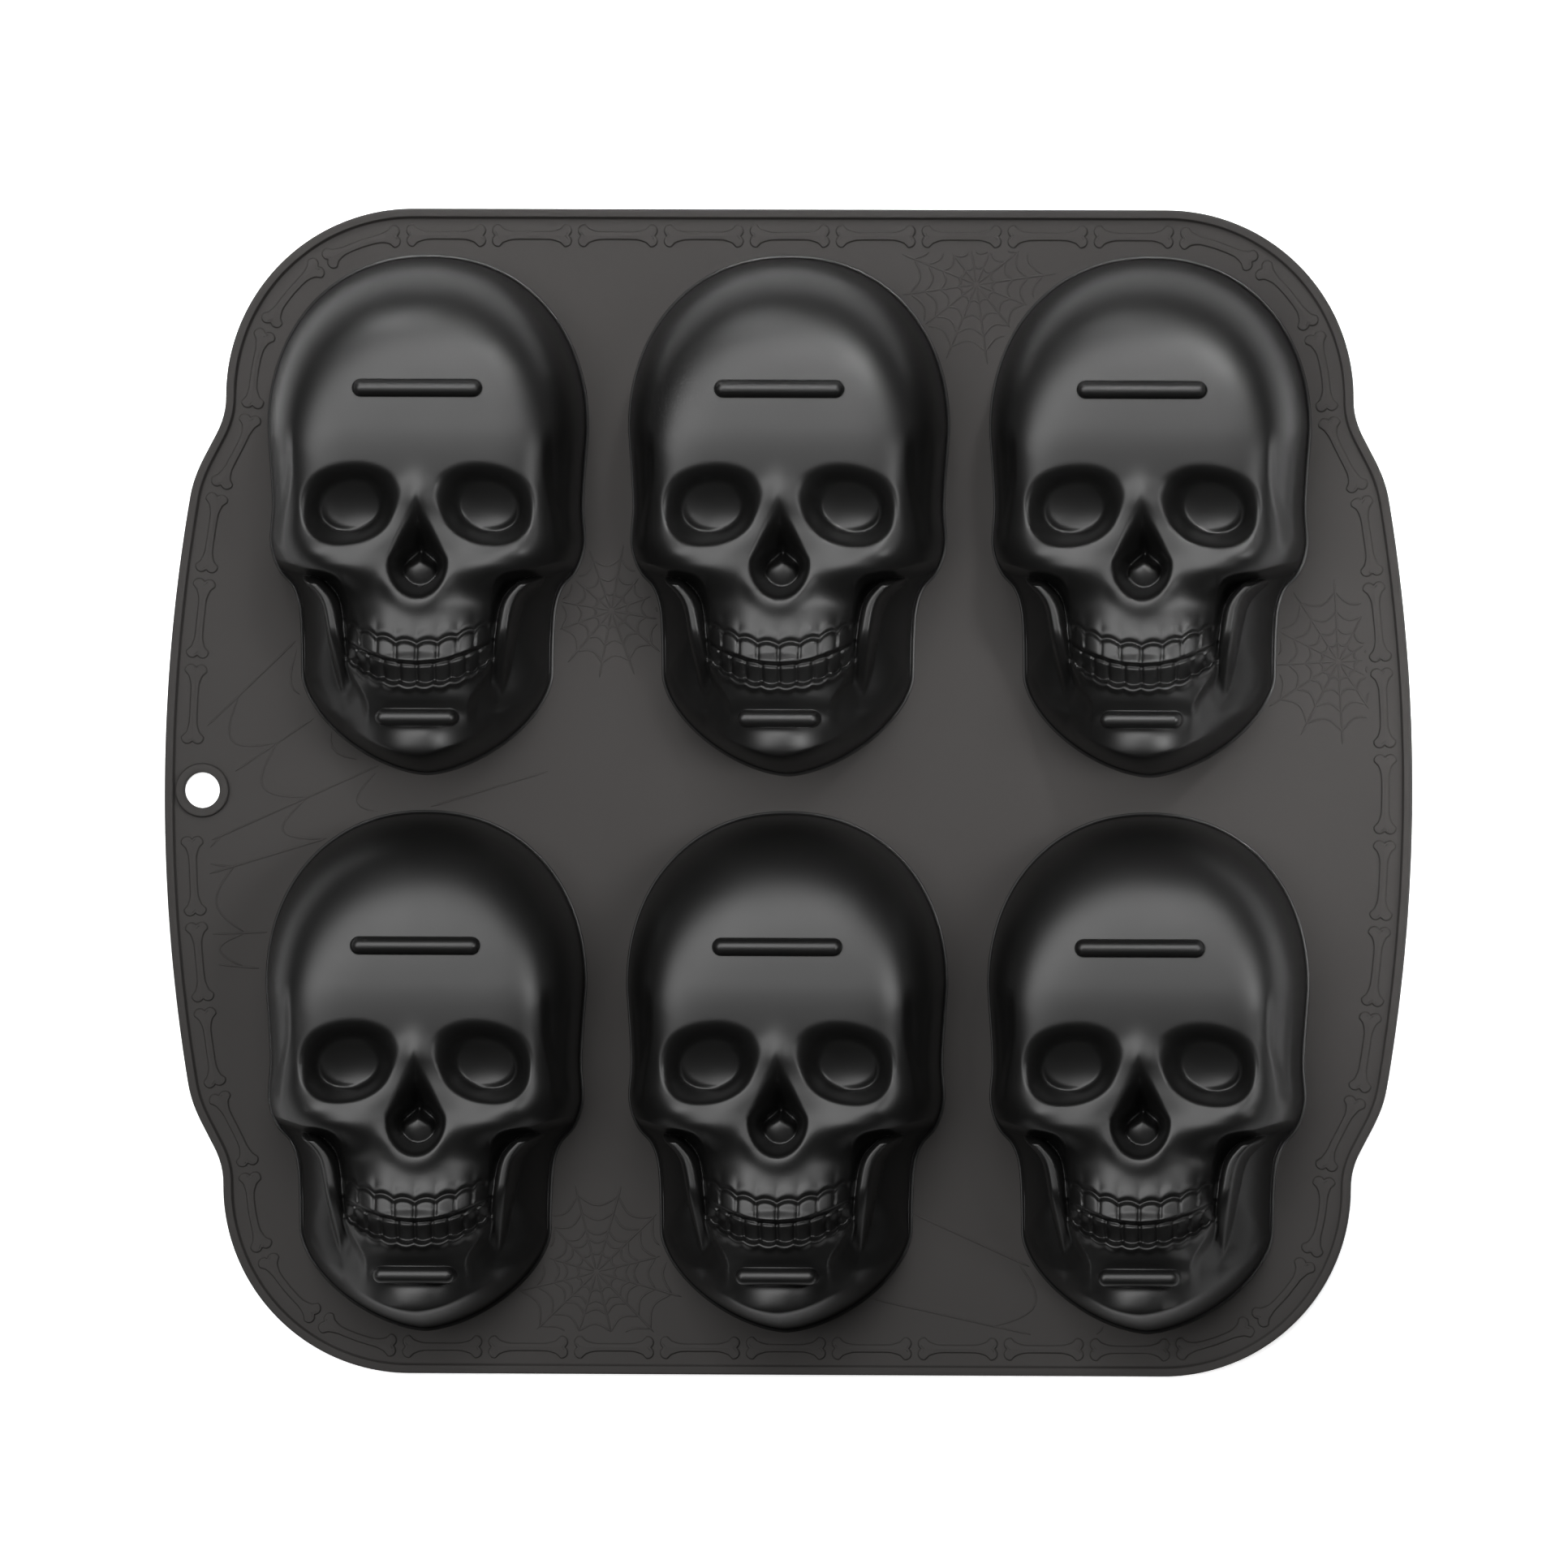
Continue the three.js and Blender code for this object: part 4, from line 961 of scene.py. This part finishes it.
class MOULD_OT_web(bpy.types.Operator):
    """Flat web of the tray with a mouth into each cavity and the hanging hole"""
    bl_idname = "mould.web"
    bl_label = "Build web"

    def execute(self, context):
        sizes = context.scene.mould_sizes
        outline = tray_outline()
        rings = [outline - outward(outline) * sizes.rim_width / MM * 0.5]
        rings += [mouth_ring(sizes) + place[:2] for place in cup_places()]
        rings.append(circle(hanging_place(), sizes.ring_bore / MM / 2, 96))
        place_piece("tray_web", flat_plate(rings, 0.0, WEB_TOP), "web", ["web_plate"], sharp=30)
        return {"FINISHED"}


class MOULD_OT_rim(bpy.types.Operator):
    """Raised bead along the tray's edge"""
    bl_idname = "mould.rim"
    bl_label = "Build rim"

    def execute(self, context):
        bead = sweep_ring(tray_outline(), rim_profile(context.scene.mould_sizes), flip=True)
        place_piece("rim", bead, "web", ["rim_bead"], sharp=50)
        return {"FINISHED"}


class MOULD_OT_hanging_ring(bpy.types.Operator):
    """Raised ring round the hanging hole"""
    bl_idname = "mould.hanging_ring"
    bl_label = "Build hanging ring"

    def execute(self, context):
        low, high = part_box("hanging_ring")
        outer = (high.x - low.x) / 2 / MM
        profile = ring_profile(outer, context.scene.mould_sizes)
        ring = sweep_ring(circle(hanging_place(), outer, 128), profile, flip=True)
        place_piece("hanging_ring_visual", ring, "web", ["hanging_ring"], sharp=50)
        return {"FINISHED"}


class MOULD_OT_cups(bpy.types.Operator):
    """Six skull cups, one mesh each, all with the same face"""
    bl_idname = "mould.cups"
    bl_label = "Build cups"

    def execute(self, context):
        points, faces = cup_shell(context.scene.mould_sizes)
        for i, place in zip(CUPS, cup_places()):
            place_piece(f"cup_{i}", (points + place, faces), "cup", [f"skull_cup_{i}"])
        return {"FINISHED"}


class MOULD_OT_ribs(bpy.types.Operator):
    """Two foot ribs on every cup, that the mould stands on in use"""
    bl_idname = "mould.ribs"
    bl_label = "Build ribs"

    def execute(self, context):
        sizes = context.scene.mould_sizes
        for title, long, y in (("forehead", sizes.forehead_rib, sizes.forehead_rib_y),
                               ("chin", sizes.chin_rib, sizes.chin_rib_y)):
            points, faces = rib_shell(long / MM, y / MM, sizes)
            for i, place in zip(CUPS, cup_places()):
                place_piece(f"{title}_rib_{i}_visual", (points + place, faces), "cup",
                            [f"{title}_rib_{i}"])
        return {"FINISHED"}


class MOULD_OT_bones(bpy.types.Operator):
    """Border of bones along the rim"""
    bl_idname = "mould.bones"
    bl_label = "Build bone border"

    def execute(self, context):
        place_piece("bone_border", bone_relief(context.scene.mould_relief), "web", sharp=35)
        return {"FINISHED"}


class MOULD_OT_cobwebs(bpy.types.Operator):
    """Cobwebs on the bare parts of the web"""
    bl_idname = "mould.cobwebs"
    bl_label = "Build cobwebs"

    def execute(self, context):
        place_piece("cobwebs", strand_relief(context.scene.mould_relief), "web")
        return {"FINISHED"}


def area_light(name, spot, target, size, power, spread=180.0):
    """Rectangular light at a spot that faces a target and is not seen itself. Its size is level and
    then upright, and its spread is in degrees."""
    data = bpy.data.lights.new(name, "AREA")
    data.shape = "RECTANGLE"
    data.size, data.size_y = size
    data.energy = power
    data.spread = math.radians(spread)
    light = bpy.data.objects.new(name, data)
    light.location = spot
    light.rotation_euler = (Vector(target) - Vector(spot)).to_track_quat("-Z", "Y").to_euler()
    light.visible_camera = False
    bpy.context.scene.collection.objects.link(light)
    return light


def studio_lights(stage):
    """A broad key light from the upper left, and narrow beams on the right flanks, the crowns and
    the jaws."""
    lights = [
        area_light("Key Light", (-0.38, 0.45, 1.78), (0.0, 0.0, 0.0), (2.0, 1.0), stage.key_power),
        area_light("Side Light", (0.36, 0.0, 0.24), (0.19, 0.0, 0.0), (0.1, 0.6), stage.side_power, 40),
        area_light("Top Light", (-0.12, 0.83, 0.44), (0.0, 0.31, 0.0), (0.5, 0.26), stage.top_power, 14),
        area_light("Crown Light", (0.40, 0.75, 1.0), (0.05, 0.10, 0.0), (0.5, 0.14), stage.crown_power, 10)]
    for way, share in ((1.0, 1.0), (-1.0, 0.5)):
        lights.append(area_light("Jaw Light", (0.40 * way, -0.14, 0.22), (0.135 * way, -0.035, 0.015),
                                 (0.3, 0.04), stage.jaw_power * share, 8))
    return lights


def studio_floor():
    """White floor under the tray, brighter to the camera than the light makes it, and clear from
    below."""
    far = FLOOR.reach
    corners = [(x, y, -FLOOR.drop) for x, y in ((-far, -far), (far, -far), (far, far), (-far, far))]
    mesh = bpy.data.meshes.new("Floor")
    mesh.from_pydata(corners, [], [(0, 1, 2, 3)])
    floor = bpy.data.objects.new("Floor", mesh)
    bpy.context.scene.collection.objects.link(floor)
    material = bpy.data.materials.new("Floor")
    material.use_nodes = True
    tree = material.node_tree
    shader = tree.nodes["Principled BSDF"]
    shader.inputs["Base Color"].default_value = (0.9, 0.9, 0.9, 1.0)
    shader.inputs["Roughness"].default_value = 1.0
    path = node(tree, "ShaderNodeLightPath")
    facing = node(tree, "ShaderNodeNewGeometry")
    white = node(tree, "ShaderNodeEmission", {"Color": (1.0, 1.0, 1.0, 1.0), "Strength": FLOOR.glow})
    both = node(tree, "ShaderNodeAddShader")
    seen = node(tree, "ShaderNodeMixShader")
    clear = node(tree, "ShaderNodeBsdfTransparent")
    through = node(tree, "ShaderNodeMixShader")
    wire(tree,
         (shader, 0, both, 0), (white, 0, both, 1),
         (path, "Is Camera Ray", seen, "Fac"), (shader, 0, seen, 1), (both, 0, seen, 2),
         (facing, "Backfacing", through, "Fac"), (seen, 0, through, 1), (clear, 0, through, 2),
         (through, 0, tree.nodes["Material Output"], "Surface"))
    mesh.materials.append(material)
    return floor


def surroundings():
    """World that is white to the camera and nearly dark to the tray."""
    world = bpy.data.worlds.new("Surroundings")
    world.use_nodes = True
    tree = world.node_tree
    dim = tree.nodes["Background"]
    dim.inputs["Color"].default_value = (0.5, 0.5, 0.5, 1.0)
    dim.inputs["Strength"].default_value = 0.04
    bright = node(tree, "ShaderNodeBackground", {"Color": (1.0, 1.0, 1.0, 1.0), "Strength": 1.0})
    path = node(tree, "ShaderNodeLightPath")
    mix = node(tree, "ShaderNodeMixShader")
    wire(tree,
         (path, "Is Camera Ray", mix, "Fac"), (dim, 0, mix, 1), (bright, 0, mix, 2),
         (mix, 0, tree.nodes["World Output"], "Surface"))
    return world


def photo_camera(stage):
    """Camera over the tray with a long lens, tilted and rolled as the photograph is."""
    data = bpy.data.cameras.new("Camera")
    data.lens, data.sensor_width = stage.lens, 36.0
    data.clip_start, data.clip_end = 0.5, 100.0
    camera = bpy.data.objects.new("Camera", data)
    bpy.context.scene.collection.objects.link(camera)
    back = Vector((math.sin(stage.tilt), 0.0, math.cos(stage.tilt)))
    spot = Vector(CAMERA_AIM) + back * stage.distance
    up = Vector((-math.sin(stage.roll), math.cos(stage.roll), 0.0))
    right = up.cross(back).normalized()
    up = back.cross(right)
    rows = [(*row, place) for row, place in zip(zip(right, up, back), spot)]
    camera.matrix_world = Matrix([*rows, (0, 0, 0, 1)])
    return camera


class MOULD_OT_stage(bpy.types.Operator):
    """Floor, soft lights, white surroundings and the camera over the tray"""
    bl_idname = "mould.stage"
    bl_label = "Build stage"

    def execute(self, context):
        scene = context.scene
        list(studio_lights(scene.mould_stage))
        studio_floor()
        scene.world = surroundings()
        scene.camera = photo_camera(scene.mould_stage)
        scene.view_settings.view_transform = "Standard"
        return {"FINISHED"}


class MOULD_PT_panel(bpy.types.Panel):
    """Sizes and buttons in the sidebar"""
    bl_label = "Skull mould"
    bl_idname = "MOULD_PT_panel"
    bl_space_type = "VIEW_3D"
    bl_region_type = "UI"
    bl_category = PANEL_TAB

    def draw(self, context):
        for name, title, _ in GROUPS:
            group = getattr(context.scene, name)
            box = self.layout.box()
            box.label(text=title)
            for key in group.bl_rna.properties.keys():
                if key not in {"rna_type", "name"}:
                    box.prop(group, key)
        for operator in OPERATORS:
            self.layout.operator(operator.bl_idname)


GROUPS = (("mould_sizes", "Sizes", Mould_Sizes), ("mould_relief", "Relief", Mould_Relief),
          ("mould_finish", "Finish", Mould_Finish), ("mould_stage", "Stage", Mould_Stage))
OPERATORS = (MOULD_OT_web, MOULD_OT_rim, MOULD_OT_hanging_ring, MOULD_OT_cups, MOULD_OT_ribs,
             MOULD_OT_bones, MOULD_OT_cobwebs, MOULD_OT_stage)


def register():
    """Registers the groups with their places on the scene, the operators and the panel."""
    for name, _, group in GROUPS:
        bpy.utils.register_class(group)
        setattr(bpy.types.Scene, name, PointerProperty(type=group))
    for operator in OPERATORS:
        bpy.utils.register_class(operator)
    bpy.utils.register_class(MOULD_PT_panel)


def unregister():
    """Takes all of it away again, in the opposite order."""
    bpy.utils.unregister_class(MOULD_PT_panel)
    for operator in reversed(OPERATORS):
        bpy.utils.unregister_class(operator)
    for name, _, group in reversed(GROUPS):
        delattr(bpy.types.Scene, name)
        bpy.utils.unregister_class(group)


def main():
    """Registers the add-on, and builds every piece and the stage."""
    register()
    bpy.ops.mould.web()
    bpy.ops.mould.rim()
    bpy.ops.mould.hanging_ring()
    bpy.ops.mould.cups()
    bpy.ops.mould.ribs()
    bpy.ops.mould.bones()
    bpy.ops.mould.cobwebs()
    bpy.ops.mould.stage()


if __name__ == "__main__":
    main()
